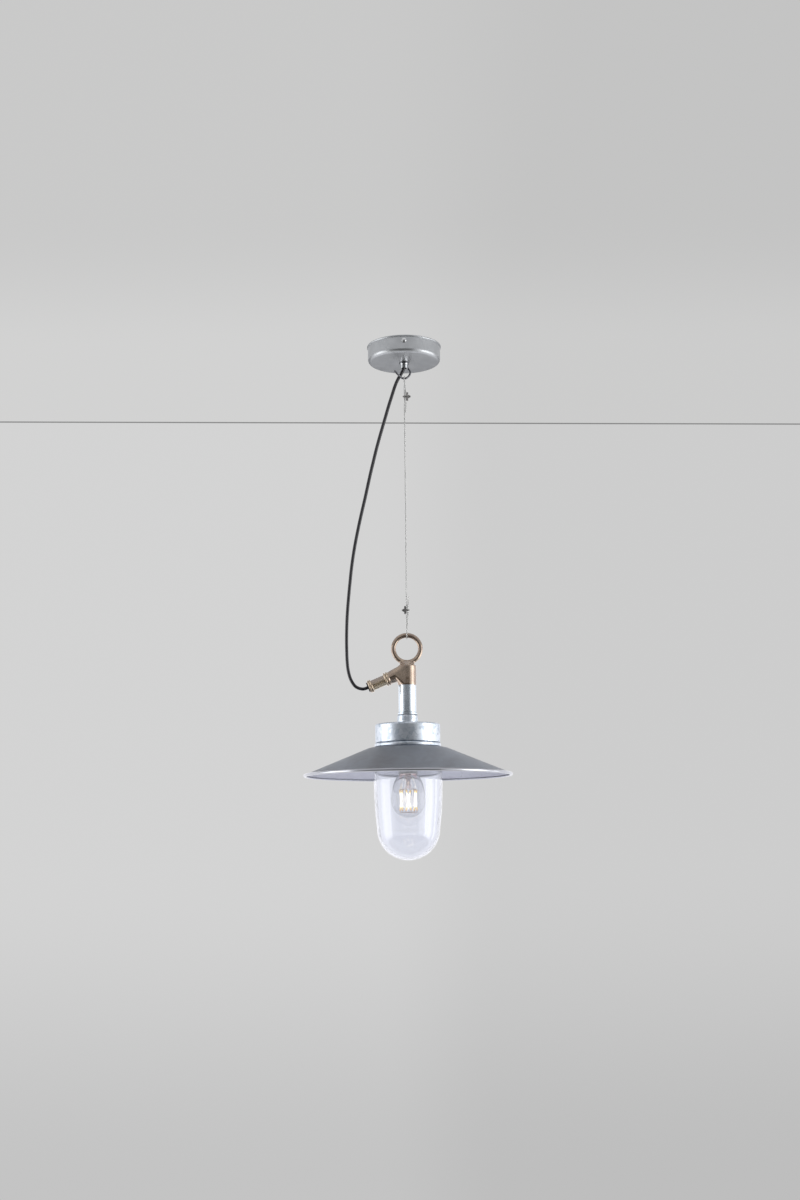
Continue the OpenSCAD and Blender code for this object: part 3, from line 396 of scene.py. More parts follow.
def visor_outline():
    """Seat, rounded shoulder, cone and wired rim, and back along the underside."""
    (shoulder_r, shoulder_z), (rim_r, rim_z) = VISOR_SHOULDER, VISOR_RIM
    slope = (VISOR_CONE_END - shoulder_z) / (rim_r - shoulder_r)
    run = rim_r - TOP_JOINS_RIM - shoulder_r
    top = [(VISOR_BORE_R, 0)]
    for t in [k / VISOR_SHOULDER_STEPS for k in range(VISOR_SHOULDER_STEPS + 1)]:
        top.append((VISOR_SEAT_R + (shoulder_r - VISOR_SEAT_R) * t, shoulder_z * t**2))
    for t in [k / VISOR_CONE_STEPS for k in range(1, VISOR_CONE_STEPS + 1)]:
        top.append((shoulder_r + run * t, shoulder_z + slope * run * t))
    rim = arc_points((rim_r, rim_z), VISOR_RIM_R, *VISOR_RIM_ARC)
    under = [
        (r, z - (VISOR_SHEET_SLOPED if r > VISOR_SEAT_R else VISOR_SHEET))
        for r, z in reversed(top) if r < rim_r - UNDERSIDE_JOINS_RIM
    ]
    return [(r, VISOR_TOP + z) for r, z in top + rim + under]


# The well glass: a neck up in the gallery, a shoulder, a side that is straight and then tapers in a slight
# bulge, and a round end.
GASKET_GAP = 0.3
GLASS_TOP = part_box("glass_gasket")[0].z / MM - GASKET_GAP
GLASS_NECK_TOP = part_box("well_glass")[1].z / MM
GLASS_NECK_R = 38.7
GLASS_R = 47.5
GLASS_END_R = 43.7
GLASS_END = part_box("well_glass")[0].z / MM + GLASS_END_R
GLASS_SIDE = 107.3
GLASS_STRAIGHT = 0.47
GLASS_BULGE = 0.8
GLASS_SHOULDER_R = 7.0
GLASS_SHOULDER_INSET = 0.6
GLASS_WALL = 4.0
GLASS_LIP = 0.4
GLASS_BORE_BELOW = 1
GLASS_SIDE_STEPS = 6
GLASS_END_STEP = 3
GLASS_SIDES = 144


def glass_side(inset):
    """Shoulder, long side and round end of the glass, drawn in by the given amount."""
    taper_z = GLASS_TOP - GLASS_SIDE * GLASS_STRAIGHT
    shoulder_at = (GLASS_R - GLASS_SHOULDER_R, GLASS_TOP - GLASS_SHOULDER_R)
    shoulder = arc_points(shoulder_at, GLASS_SHOULDER_R - inset * GLASS_SHOULDER_INSET, 90, 0)
    taper_top = (GLASS_R - inset, taper_z)
    taper_middle = ((GLASS_R + GLASS_END_R) / 2 + GLASS_BULGE - inset, (taper_z + GLASS_END) / 2)
    end = arc_points((0, GLASS_END), GLASS_END_R - inset, 0, -90, GLASS_END_STEP)
    through = (shoulder[-1], taper_top, taper_middle, end[0], end[2])
    side = smooth_line([(*p, 0) for p in through], GLASS_SIDE_STEPS)
    return shoulder[:-1] + [(p.x, p.y) for p in side[:-GLASS_SIDE_STEPS]] + end[1:]


def glass_outline():
    """Outside from the neck down, and back up inside."""
    inner_r = GLASS_NECK_R - GLASS_WALL
    lip = [(inner_r + GLASS_LIP, GLASS_NECK_TOP), (GLASS_NECK_R - GLASS_LIP, GLASS_NECK_TOP)]
    neck = [(GLASS_NECK_R, GLASS_NECK_TOP - GLASS_LIP), (GLASS_NECK_R, GLASS_TOP)]
    bore = [(inner_r, GLASS_NECK_TOP - GLASS_LIP), (inner_r, GLASS_TOP - GLASS_BORE_BELOW)]
    inside = bore + glass_side(GLASS_WALL)
    return lip + neck + glass_side(0)[1:] + inside[::-1]


# The bulb's glass: a round foot, a dome that rises to the neck, and a neck down in the cap.
GLOBE_R = 24.0
GLOBE_RISE = 42.0
GLOBE_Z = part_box("bulb_globe")[0].z / MM + GLOBE_R
GLOBE_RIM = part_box("bulb_globe")[1].z / MM
GLOBE_NECK_R = 12.1
GLOBE_NECK_ROUND = 0.7
GLOBE_NECK_FLARE = 0.15
GLOBE_FLARE_TALL = 1.0
CAP_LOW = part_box("bulb_cap")[0].z / MM
GLOBE_WALL = 0.8
DOME_STEPS = 24
GLOBE_SIDES = 96


def globe_side(inset):
    """The bulb's glass from its neck to its foot."""
    neck_r, r, rise = GLOBE_NECK_R - inset, GLOBE_R - inset, GLOBE_RISE - inset
    first = math.acos((neck_r + GLOBE_NECK_ROUND) / r)
    angles = [first * (1 - k / DOME_STEPS) for k in range(DOME_STEPS)]
    dome = [(r * math.cos(a), GLOBE_Z + rise * math.sin(a)) for a in angles]
    neck = [(neck_r, GLOBE_RIM - inset), (neck_r, CAP_LOW + GLOBE_FLARE_TALL)]
    flare = [(neck_r + GLOBE_NECK_FLARE, CAP_LOW)]
    return neck + flare + dome + arc_points((0, GLOBE_Z), r, 0, -90)


hook_line = [Vector((x, y, z + HOOK_Z)) * MM for x, y, z in HOOK_ROUTE]
globe_outline = globe_side(0) + globe_side(GLOBE_WALL)[::-1]
hook_rod = bent_rod("hook_rod", hook_line, HOOK_ROD / 2)
stands_for(hook_rod, "ceiling_rose", "hook", "dark_steel")
visor_spun = turned("visor_spun", visor_outline(), VISOR_SIDES)
stands_for(visor_spun, "lamp", "visor", "galvanised_sheet")
glass_jar = turned("glass_jar", glass_outline(), GLASS_SIDES)
stands_for(glass_jar, "well_glass", "well_glass", "clear_glass")
bulb_envelope = turned("bulb_envelope", globe_outline, GLOBE_SIDES)
stands_for(bulb_envelope, "bulb", "bulb_globe", "bulb_glass")


def cast_copy(node_name, piece_name, voxel, rounds):
    """A casting: a copy of the solid with its sharp corners softened, as they leave a sand mould."""
    deselect_all()
    piece = nodes[node_name].copy()
    piece.data = nodes[node_name].data.copy()
    piece.name = piece_name
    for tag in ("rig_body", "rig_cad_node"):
        if tag in piece:
            del piece[tag]
    scene.collection.objects.link(piece)
    piece.parent = None
    only(piece)
    bpy.ops.object.mode_set(mode="EDIT")
    bpy.ops.mesh.select_all(action="SELECT")
    bpy.ops.mesh.remove_doubles(threshold=SOLID_WELD)
    bpy.ops.object.mode_set(mode="OBJECT")
    remesh = piece.modifiers.new("cast", "REMESH")
    remesh.mode = "VOXEL"
    remesh.voxel_size = voxel
    remesh.use_smooth_shade = True
    bpy.ops.object.modifier_apply(modifier=remesh.name)
    soften = piece.modifiers.new("soften", "SMOOTH")
    soften.factor = CAST_SOFTENING
    soften.iterations = rounds
    bpy.ops.object.modifier_apply(modifier=soften.name)
    bpy.ops.object.shade_smooth()
    return piece


eye_casting = cast_copy("eye_tee", "eye_casting", voxel=0.5 * MM, rounds=14)
stands_for(eye_casting, "lamp", "eye_tee", "aged_brass")
gallery_casting = cast_copy("gallery", "gallery_casting", voxel=0.8 * MM, rounds=4)
stands_for(gallery_casting, "lamp", "gallery", "galvanised_cast")


def feed(tree, socket, value):
    """Links a node's output to a socket, or sets a number or a colour on it."""
    if isinstance(value, bpy.types.NodeSocket):
        tree.links.new(value, socket)
    elif socket.type == "RGBA":
        socket.default_value = (*value, 1)
    else:
        socket.default_value = value


def calculate(tree, operation, a, b=None):
    """One operation on one or two values."""
    node = tree.nodes.new("ShaderNodeMath")
    node.operation = operation
    feed(tree, node.inputs[0], a)
    if b is not None:
        feed(tree, node.inputs[1], b)
    return node.outputs["Value"]


def axes_of(tree, vector):
    """The X, Y and Z of a vector, by name."""
    split = tree.nodes.new("ShaderNodeSeparateXYZ")
    tree.links.new(vector, split.inputs["Vector"])
    return split.outputs


def grade(tree, value, first, last, low=0, high=1, kind="SMOOTHSTEP"):
    """Low up to the first value, high from the last on, and a slope between them."""
    node = tree.nodes.new("ShaderNodeMapRange")
    node.interpolation_type = kind
    ends = {"Value": value, "From Min": first, "From Max": last, "To Min": low, "To Max": high}
    for socket, end in ends.items():
        feed(tree, node.inputs[socket], end)
    return node.outputs["Result"]


class Finish:
    """A material in the making: its principled shader and the nodes that feed it."""

    def __init__(self, name, **values):
        self.material = bpy.data.materials.new(name)
        self.material.use_nodes = True
        self.tree = self.material.node_tree
        self.shader = self.tree.nodes["Principled BSDF"]
        self.coordinates = self.tree.nodes.new("ShaderNodeTexCoord").outputs
        for socket, value in values.items():
            self.put(socket.replace("_", " "), value)

    def put(self, socket, value):
        """Feeds one of the shader's sockets."""
        feed(self.tree, self.shader.inputs[socket], value)

    def node(self, kind, **values):
        """A new node with values or other nodes' outputs on the named sockets."""
        node = self.tree.nodes.new(kind)
        for socket, value in values.items():
            feed(self.tree, node.inputs[socket], value)
        return node

    def axes(self, coordinates):
        return axes_of(self.tree, self.coordinates[coordinates])

    def math(self, operation, a, b=None):
        return calculate(self.tree, operation, a, b)

    def reach(self, a, b):
        """The distance from an axis, from the distances in two directions square to it."""
        return self.math("SQRT", self.math("ADD", self.math("MULTIPLY", a, a), self.math("MULTIPLY", b, b)))

    def span(self, value, low, high, first=0.3, last=0.7):
        return grade(self.tree, value, first, last, low, high, "LINEAR")

    def stretched(self, scale):
        """The piece's own coordinates, scaled along each axis."""
        mapping = self.node("ShaderNodeMapping", Vector=self.coordinates["Object"], Scale=scale)
        return mapping.outputs["Vector"]

    def noise(self, scale, detail=4, roughness=0.55, distortion=0, stretch=(1, 1, 1)):
        node = self.node(
            "ShaderNodeTexNoise", Vector=self.stretched(stretch), Scale=scale, Detail=detail,
            Roughness=roughness, Distortion=distortion,
        )
        return node.outputs["Fac"]

    def cells(self, scale, warp, stretch=(1, 1, 1)):
        """Crystals, each of its own tone, with wavering edges."""
        at = self.stretched(stretch)
        wobble = self.node("ShaderNodeTexNoise", Vector=at, Scale=scale * 1.6).outputs["Color"]
        warped = self.tree.nodes.new("ShaderNodeVectorMath")
        warped.operation = "MULTIPLY_ADD"
        for socket, value in zip(warped.inputs, (wobble, (warp / scale,) * 3, at)):
            feed(self.tree, socket, value)
        crystals = self.node("ShaderNodeTexVoronoi", Vector=warped.outputs["Vector"], Scale=scale)
        return crystals.outputs["Color"]

    def ramp(self, value, stops):
        node = self.node("ShaderNodeValToRGB", Fac=value)
        elements = node.color_ramp.elements
        while len(elements) < len(stops):
            elements.new(0.5)
        for element, (at, colour) in zip(elements, stops):
            element.position = at
            element.color = (*colour, 1)
        return node.outputs["Color"]

    def mix(self, share, a, b):
        """The first colour, and the second by its share."""
        node = self.tree.nodes.new("ShaderNodeMix")
        node.data_type = "RGBA"
        for name, value in (("Factor", share), ("A", a), ("B", b)):
            feed(self.tree, [s for s in node.inputs if s.name == name and s.enabled][0], value)
        return [s for s in node.outputs if s.enabled][0]

    def bump(self, height, depth, strength=1.0):
        node = self.node("ShaderNodeBump", Height=height, Distance=depth, Strength=strength)
        self.put("Normal", node.outputs["Normal"])


def shaded(tone, share):
    """The tone times a share, no brighter than white."""
    return tuple(min(1, channel * share) for channel in tone)


def zinc_plate(name, dark, light, rough=(0.22, 0.36), grain=180):
    """Plated steel: faint clouds in its tone, and fine pits that break up the shine."""
    finish = Finish(name, Metallic=1.0)
    clouds = finish.noise(grain, detail=5)
    finish.put("Base Color", finish.ramp(clouds, [(0.32, dark), (0.68, light)]))
    finish.put("Roughness", finish.span(finish.noise(grain * 2.3, detail=3), *rough))
    finish.bump(finish.noise(grain * 9, detail=3), 0.03 * MM)
    return finish.material


def galvanised(name, dark, light, rough, crystal, grime, shaded_seams, streak=(1, 1, 1)):
    """Hot-dip zinc: crystals of different greys, soft clouds over them, dull specks, and painted shade in a
    dark band at each seam.
    """
    finish = Finish(name, Metallic=1.0)
    crystals = finish.math("MULTIPLY", finish.cells(crystal, 0.5, streak), 0.55)
    clouds = finish.math("MULTIPLY", finish.noise(crystal * 0.25), 0.45)
    tone = finish.math("ADD", crystals, clouds)
    metal = finish.ramp(tone, [(0.32, dark), (0.68, light)])
    specks = finish.span(finish.noise(crystal * 2.2, detail=6, roughness=0.7), 1, 0, 0.30, 0.36)
    specks_and_seam_shade = finish.math("MULTIPLY", specks, grime)
    level = finish.axes("Object")["Z"]
    # Painted shade: each seam gets a dark band, for the shade in the groove where the parts meet.
    for seam, half in shaded_seams:
        away = finish.math("ABSOLUTE", finish.math("SUBTRACT", level, seam))
        specks_and_seam_shade = finish.math("MAXIMUM", specks_and_seam_shade, finish.span(away, 0.85, 0, half * 0.5, half))
    finish.put("Base Color", finish.mix(specks_and_seam_shade, metal, shaded(dark, 0.25)))
    smooth = finish.span(tone, rough[1], rough[0])
    finish.put("Roughness", finish.math("ADD", smooth, finish.math("MULTIPLY", specks_and_seam_shade, 0.3)))
    finish.bump(finish.noise(crystal * 1.1, detail=3), 0.04 * MM, 0.4)
    return finish.material


def clean_metal(name, tone, rough=0.22, grain=900):
    """Turned or drawn metal with hair-fine lines."""
    finish = Finish(name, Metallic=1.0)
    lines = finish.noise(grain, detail=3, roughness=0.6, stretch=(1, 1, 6))
    finish.put("Base Color", finish.ramp(lines, [(0.3, shaded(tone, 0.86)), (0.7, tone)]))
    finish.put("Roughness", finish.span(lines, rough + 0.08, rough - 0.04))
    finish.bump(lines, 0.01 * MM)
    return finish.material


def moulded(name, tone, rough=0.35, grain=700, coat=0.0, mottle=0.12):
    """Moulded plastic, rubber or enamel with a faint mottle and a fine skin."""
    finish = Finish(name, Coat_Weight=coat, Coat_Roughness=0.12)
    clouds = finish.noise(grain * 0.25)
    tones = [(0.3, shaded(tone, 1 - mottle)), (0.7, shaded(tone, 1 + mottle))]
    finish.put("Base Color", finish.ramp(clouds, tones))
    finish.put("Roughness", finish.span(finish.noise(grain * 0.4, detail=3), rough + 0.06, rough - 0.05))
    finish.bump(finish.noise(grain, detail=3), 0.02 * MM)
    return finish.material


def striped_core(name, tone, band):
    """Earth core: green with a yellow stripe along it."""
    finish = Finish(name, Roughness=0.35)
    stripes = finish.noise(160, detail=1, roughness=0.3, stretch=(1, 1, 0.15))
    finish.put("Base Color", finish.ramp(stripes, [(0.49, tone), (0.52, band)]))
    finish.bump(finish.noise(900, detail=2), 0.02 * MM)
    return finish.material


def clear_glass(name, tint, ripple, depth, stem=None):
    """Clear glass with slow ripples in its faces. A stem has its own tint within a radius, above a level."""
    finish = Finish(
        name, Transmission_Weight=1.0, Roughness=0.0, IOR=1.52, Coat_Weight=1.0, Coat_Roughness=0.02,
    )
    tone = finish.ramp(finish.noise(12, detail=2), [(0.3, tint), (0.7, shaded(tint, 1.02))])
    if stem:
        radius, level, stem_tint = stem
        place = finish.axes("Object")
        sides = [finish.math("ABSOLUTE", place[axis]) for axis in "XY"]
        inside = finish.span(finish.math("MAXIMUM", *sides), 1, 0, radius, radius + 0.5 * MM)
        above = finish.span(place["Z"], 0, 1, level - 1 * MM, level)
        tone = finish.mix(finish.math("MULTIPLY", inside, above), tone, stem_tint)
    finish.put("Base Color", tone)
    finish.bump(finish.noise(ripple, detail=2, roughness=0.4, stretch=(1, 1, 0.35)), depth)
    return finish.material


# The brass tee, and the gland on its branch: how far the sleeve is screwed in, its axis, and how far out its
# beads are. The axis slopes in the plane of X and Z and meets the lamp's own.
GLAND_GRIP = 9.0 * MM
GLAND_FROM_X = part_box("gland_body")[1].x - GLAND_GRIP
GLAND_EDGE = 0.5 * MM
gland_joint = [j for j in frame["record"]["behaviour"]["joints"] if j["name"] == "gland_turn"][0]
GLAND_AT = gland_joint["pos_m"]
GLAND_WAY = gland_joint["axis"]
GLAND_BEAD_R = 8.4 * MM
GLAND_BEAD_EDGE = 0.7 * MM
# Painted light: the gland's sleeve is pale on faces that look down and dark on faces that look up, as the
# light from below falls.
GLAND_LIT_BELOW_STOPS = [(0.0, (0.62, 0.49, 0.31)), (0.45, (0.56, 0.43, 0.27)), (0.8, (0.30, 0.22, 0.16))]
# Painted highlight: the beads take this brighter tone so that they shine.
BEAD_HIGHLIGHT_BRASS = (0.52, 0.40, 0.27)
CAST_METALLIC = 0.9
GLAND_METALLIC = 0.55
BEAD_MORE_METALLIC = 0.4
BEAD_LESS_ROUGH = 0.14


def off_gland_axis(finish, place):
    """How far a place is from the gland's axis."""
    above = finish.math("MULTIPLY", finish.math("SUBTRACT", place["Z"], GLAND_AT[2]), -GLAND_WAY[0])
    above = finish.math("ADD", above, finish.math("MULTIPLY", place["X"], GLAND_WAY[2]))
    return finish.reach(above, place["Y"])


def aged_brass(name, dark, light, rough):
    """Cast brass that has dulled: brown in patches; yellower along the gland, with painted light that makes
    it paler where it faces down; and a brighter tone on its beads as a painted highlight.
    """
    finish = Finish(name, Coat_Weight=1.0, Coat_Roughness=0.12, Coat_IOR=2.1)
    patches = finish.noise(70, distortion=0.3)
    cast = finish.ramp(patches, [(0.34, dark), (0.68, light)])
    upward = finish.span(finish.axes("Normal")["Z"], 0, 1, -0.9, 0.7)
    # Painted light on the sleeve, by the way its faces look.
    sleeve = finish.ramp(upward, GLAND_LIT_BELOW_STOPS)
    place = finish.axes("Object")
    on_gland = finish.span(place["X"], 1, 0, GLAND_FROM_X - GLAND_EDGE, GLAND_FROM_X + GLAND_EDGE)
    away = off_gland_axis(finish, place)
    beads = finish.span(away, 0, 1, GLAND_BEAD_R - GLAND_BEAD_EDGE, GLAND_BEAD_R)
    on_bead = finish.math("MULTIPLY", on_gland, beads)
    finish.put("Base Color", finish.mix(on_bead, finish.mix(on_gland, cast, sleeve), BEAD_HIGHLIGHT_BRASS))
    metallic = finish.span(on_gland, CAST_METALLIC, GLAND_METALLIC, 0, 1)
    finish.put("Metallic", finish.math("ADD", metallic, finish.math("MULTIPLY", on_bead, BEAD_MORE_METALLIC)))
    dull = finish.span(patches, rough[1], rough[0])
    finish.put("Roughness", finish.math("SUBTRACT", dull, finish.math("MULTIPLY", on_bead, BEAD_LESS_ROUGH)))
    finish.bump(finish.noise(180, detail=2), 0.04 * MM, 0.12)
    return finish.material


# The visor's sheet: weathered zinc above; below, real specks over a paler tone painted on the faces that look
# down, as light from below; and a paler tone on the rim's bead, partly bright metal and partly a painted
# highlight.
SHEET_ABOVE = [(0.32, (0.215, 0.225, 0.25)), (0.62, (0.30, 0.325, 0.375))]
# Painted light: the underside's paler lavender tone stands in for the light it catches from below.
SHEET_LIT_BELOW = [(0.25, (0.60, 0.61, 0.74)), (0.75, (0.72, 0.74, 0.86))]
SHEET_SPECK = (0.14, 0.14, 0.16)
# Painted highlight, in part: the rim's bead takes this paler tone, partly bright metal and partly the
# highlight along the rim.
SHEET_BEAD_HIGHLIGHT = (0.50, 0.51, 0.55)
SHEET_BEAD_FROM_R = (VISOR_RIM[0] - 2.0) * MM
SHEET_BEAD_FULL_R = (VISOR_RIM[0] - 1.4) * MM


def visor_sheet(name):
    """Weathered zinc sheet above; below, specks over a paler tone painted on down-facing faces as light from
    below; and a paler rim bead, partly bright metal and partly a painted highlight.
    """
    finish = Finish(name)
    crystals = finish.math("MULTIPLY", finish.cells(150, 0.6), 0.12)
    clouds = finish.noise(16, detail=3, roughness=0.5, distortion=0.3, stretch=(1, 0.4, 0.5))
    tone = finish.math("ADD", crystals, finish.math("MULTIPLY", clouds, 0.88))
    specks = finish.span(finish.noise(260, detail=5, roughness=0.65), 1, 0, 0.31, 0.35)
    below = finish.mix(finish.math("MULTIPLY", specks, 0.75), finish.ramp(tone, SHEET_LIT_BELOW), SHEET_SPECK)
    # Painted light: faces that look down take the paler underside tone, as if lit from below.
    lit_from_below = finish.span(finish.axes("Normal")["Z"], 1, 0, -0.35, -0.15)
    sheet = finish.mix(lit_from_below, finish.ramp(tone, SHEET_ABOVE), below)
    place = finish.axes("Object")
    out = finish.reach(place["X"], place["Y"])
    bead = finish.span(out, 0, 1, SHEET_BEAD_FROM_R, SHEET_BEAD_FULL_R)
    # The bead's paler tone is partly a painted highlight along the rim.
    finish.put("Base Color", finish.mix(bead, sheet, SHEET_BEAD_HIGHLIGHT))
    finish.put("Metallic", finish.span(bead, 0.35, 0.95, 0, 1))
    finish.put("Roughness", finish.span(bead, 0.52, 0.16, 0, 1))
    finish.bump(finish.noise(60, detail=3), 0.05 * MM, 0.2)
    return finish.material


# The sticks' glow from their foot to their top.
WHITE_HOT = (1.0, 0.93, 0.80)
GLOW = [
    (0.0, (0.16, 0.07, 0.03)), (0.05, (0.42, 0.27, 0.08)), (0.15, (0.50, 0.38, 0.16)), (0.25, WHITE_HOT),
    (0.80, WHITE_HOT), (0.90, (0.50, 0.38, 0.15)), (1.0, (0.30, 0.17, 0.06)),
]


def glowing_sticks(name, stops, strength):
    """Phosphor sticks, white-hot in the middle and yellow at both ends."""
    finish = Finish(name, Roughness=0.5, Emission_Strength=strength)
    foot, top = [corner.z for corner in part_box("bulb_filaments")]
    rise = finish.math("SUBTRACT", finish.axes("Object")["Z"], foot)
    glow = finish.ramp(finish.math("DIVIDE", rise, top - foot), stops)
    finish.put("Base Color", glow)
    finish.put("Emission Color", glow)
    return finish.material


# Each finish: how it is made, and its own values. Seams are levels with half the height of the dark band of
# painted shade along them.
NECK_SEAM = (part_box("gallery")[1].z, 0.8 * MM)
LOCKNUT_SEAM = (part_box("stem_locknut")[1].z, 0.5 * MM)
STEM_TINT = (1.0, 0.88, 0.85)
BULB_STEM = (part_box("bulb_stem")[1].x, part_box("bulb_stem")[0].z, STEM_TINT)
FINISHES = {
    "strap_steel": (zinc_plate, dict(dark=(0.50, 0.51, 0.53), light=(0.68, 0.69, 0.71))),
    "rose_zinc": (
        zinc_plate,
        dict(dark=(0.44, 0.455, 0.47), light=(0.51, 0.525, 0.54), rough=(0.34, 0.42), grain=60),
    ),
    "bright_steel": (clean_metal, dict(tone=(0.78, 0.79, 0.80), rough=0.16)),
    "dark_steel": (
        zinc_plate,
        dict(dark=(0.10, 0.10, 0.11), light=(0.27, 0.27, 0.29), rough=(0.14, 0.24), grain=260),
    ),
    "terminal_plastic": (moulded, dict(tone=(0.80, 0.78, 0.70), rough=0.4)),
    "new_brass": (clean_metal, dict(tone=(0.80, 0.62, 0.30))),
    "flex_black": (moulded, dict(tone=(0.012, 0.011, 0.016), rough=0.32, grain=900, coat=0.2)),
    "live_brown": (moulded, dict(tone=(0.22, 0.09, 0.035))),
    "neutral_blue": (moulded, dict(tone=(0.06, 0.18, 0.55))),
    "earth_green": (striped_core, dict(tone=(0.08, 0.42, 0.07), band=(0.80, 0.66, 0.04))),
    "wire_rope": (moulded, dict(tone=(0.82, 0.82, 0.81), rough=0.55, grain=500, mottle=0.04)),
    "clip_zinc": (
        zinc_plate,
        dict(dark=(0.12, 0.12, 0.115), light=(0.38, 0.37, 0.36), rough=(0.14, 0.26), grain=400),
    ),
    "aged_brass": (
        aged_brass,
        dict(dark=(0.22, 0.135, 0.085), light=(0.47, 0.345, 0.235), rough=(0.20, 0.30)),
    ),
    "black_rubber": (moulded, dict(tone=(0.018, 0.018, 0.018), rough=0.55, grain=800)),
    "galvanised_tube": (
        galvanised,
        dict(
            dark=(0.58, 0.65, 0.72), light=(0.76, 0.83, 0.90), rough=(0.22, 0.30), crystal=180, grime=0.15,
            shaded_seams=(NECK_SEAM, LOCKNUT_SEAM), streak=(1, 1, 0.4),
        ),
    ),
    "galvanised_cast": (
        galvanised,
        dict(
            dark=(0.48, 0.54, 0.61), light=(0.74, 0.79, 0.86), rough=(0.32, 0.42), crystal=190, grime=0.3,
            shaded_seams=(NECK_SEAM,),
        ),
    ),
    "galvanised_sheet": (visor_sheet, {}),
    "holder_black": (moulded, dict(tone=(0.045, 0.032, 0.028), rough=0.22, grain=500, coat=0.3)),
    "holder_zinc": (clean_metal, dict(tone=(0.62, 0.62, 0.63), rough=0.25)),
    "clear_glass": (clear_glass, dict(tint=(0.97, 0.975, 0.985), ripple=28, depth=0.12 * MM)),
    "bulb_glass": (clear_glass, dict(tint=(0.985, 0.985, 0.985), ripple=40, depth=0.02 * MM, stem=BULB_STEM)),
    "cap_nickel": (clean_metal, dict(tone=(0.72, 0.71, 0.69), rough=0.24)),
    "cap_insulator": (moulded, dict(tone=(0.02, 0.02, 0.025), rough=0.12)),
    "filament_glow": (glowing_sticks, dict(stops=GLOW, strength=2.2)),
    "stem_wire": (
        zinc_plate,
        dict(dark=(0.30, 0.17, 0.13), light=(0.50, 0.32, 0.26), rough=(0.25, 0.4), grain=500),
    ),
}
materials = {name: make(name, **values) for name, (make, values) in FINISHES.items()}


def dress(piece, slot):
    """Gives every face of a piece one finish."""
    piece.data.materials.clear()
    piece.data.materials.append(materials[slot])
    for polygon in piece.data.polygons:
        polygon.material_index = 0


slot_of = {s["node"]: s["material_slot"] for s in frame["record"]["subparts"]}
for node_name, node in nodes.items():
    dress(node, slot_of[node_name])
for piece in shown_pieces():
    if "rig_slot" in piece:
        dress(piece, piece["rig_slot"])

# The room's tones: those the camera sees, those that metal mirrors, and what shows through glass.
# A grade is an axis, two places on it and the share of the tone at each.
BACKDROP = (0.62, 0.63, 0.64)
THROUGH_GLASS = (0.80, 0.82, 0.92)
CEILING_TONE = (0.645, 0.645, 0.643)
# Painted light: the camera's grades make the ceiling, wall and floor darker where less light falls on them.
CEILING_LIGHT_GRADES = [("Y", -0.45, 0.0, 0.91, 1.0), ("X", -0.05, 0.15, 1.0, 0.94)]
CEILING_MIRRORED = (0.72, 0.72, 0.73)
CEILING_MIRROR_GRADES = [("Y", -1.2, -0.2, 0.7, 1.0)]
WALL_TONE = (0.655, 0.655, 0.655)
WALL_LIGHT_GRADES = [("X", -0.06, 0.16, 1.0, 0.935), ("Z", -1.24, -0.72, 0.84, 1.0)]
WALL_MIRRORED = (1.1, 1.1, 1.13)
WALL_MIRROR_GRADES = [("Z", -0.36, -0.12, 1.0, 0.30)]
FLOOR_MIRRORED = (0.85, 0.85, 0.85)
FLOOR_MIRROR_GRADES = [("Y", -1.3, -0.45, 0.2, 1.0)]
CORNER_SHADE_TONE = (0.25, 0.25, 0.25)
PAINT_ROUGHNESS = 0.9

# The room's light: its tint, and its strength towards the camera and overhead, as grades of the direction.
STUDIO_TINT = (0.98, 0.985, 1.0)
STUDIO_FRONT = (-0.80, -0.42, 0.09, 1.0)
STUDIO_TOP = (0.1, 0.8, 1.0, 0.55)


def graded_tone(tree, tone, grades):
    """A colour that fades across the room by its grades."""
    place = axes_of(tree, tree.nodes.new("ShaderNodeTexCoord").outputs["Object"])
    for axis, *ends in grades:
        scale = tree.nodes.new("ShaderNodeVectorMath")
        scale.operation = "SCALE"
        feed(tree, scale.inputs[0], tone)
        feed(tree, scale.inputs["Scale"], grade(tree, place[axis], *ends))
        tone = scale.outputs["Vector"]
    return tone


def mixed_shader(tree, share, first, second):
    """The first shader, and the second by its share."""
    mix = tree.nodes.new("ShaderNodeMixShader")
    for socket, value in zip(mix.inputs, (share, first.outputs[0], second.outputs[0])):
        tree.links.new(value, socket)
    return mix


def flat_colour(tree, surface, colour, rays):
    """Shows a plain colour to the named rays, and the given shader to everything else."""
    path = tree.nodes.new("ShaderNodeLightPath")
    seen = path.outputs[rays[0]]
    for ray in rays[1:]:
        seen = calculate(tree, "MAXIMUM", seen, path.outputs[ray])
    plain = tree.nodes.new("ShaderNodeBackground" if surface.type == "BACKGROUND" else "ShaderNodeEmission")
    feed(tree, plain.inputs["Color"], colour)
    return mixed_shader(tree, seen, surface, plain)


def studio_world():
    """A pale room that is darker towards the camera and overhead, so that round metal shows a dark middle."""
    scene.world = bpy.data.worlds.new("studio")
    scene.world.use_nodes = True
    tree = scene.world.node_tree
    background = tree.nodes["Background"]
    way = axes_of(tree, tree.nodes.new("ShaderNodeTexCoord").outputs["Generated"])
    front = grade(tree, way["Y"], *STUDIO_FRONT)
    top = grade(tree, way["Z"], *STUDIO_TOP)
    feed(tree, background.inputs["Color"], STUDIO_TINT)
    feed(tree, background.inputs["Strength"], calculate(tree, "MULTIPLY", front, top))
    shown = flat_colour(tree, background, BACKDROP, ("Is Camera Ray", "Is Transmission Ray"))
    tree.links.new(shown.outputs[0], tree.nodes["World Output"].inputs["Surface"])


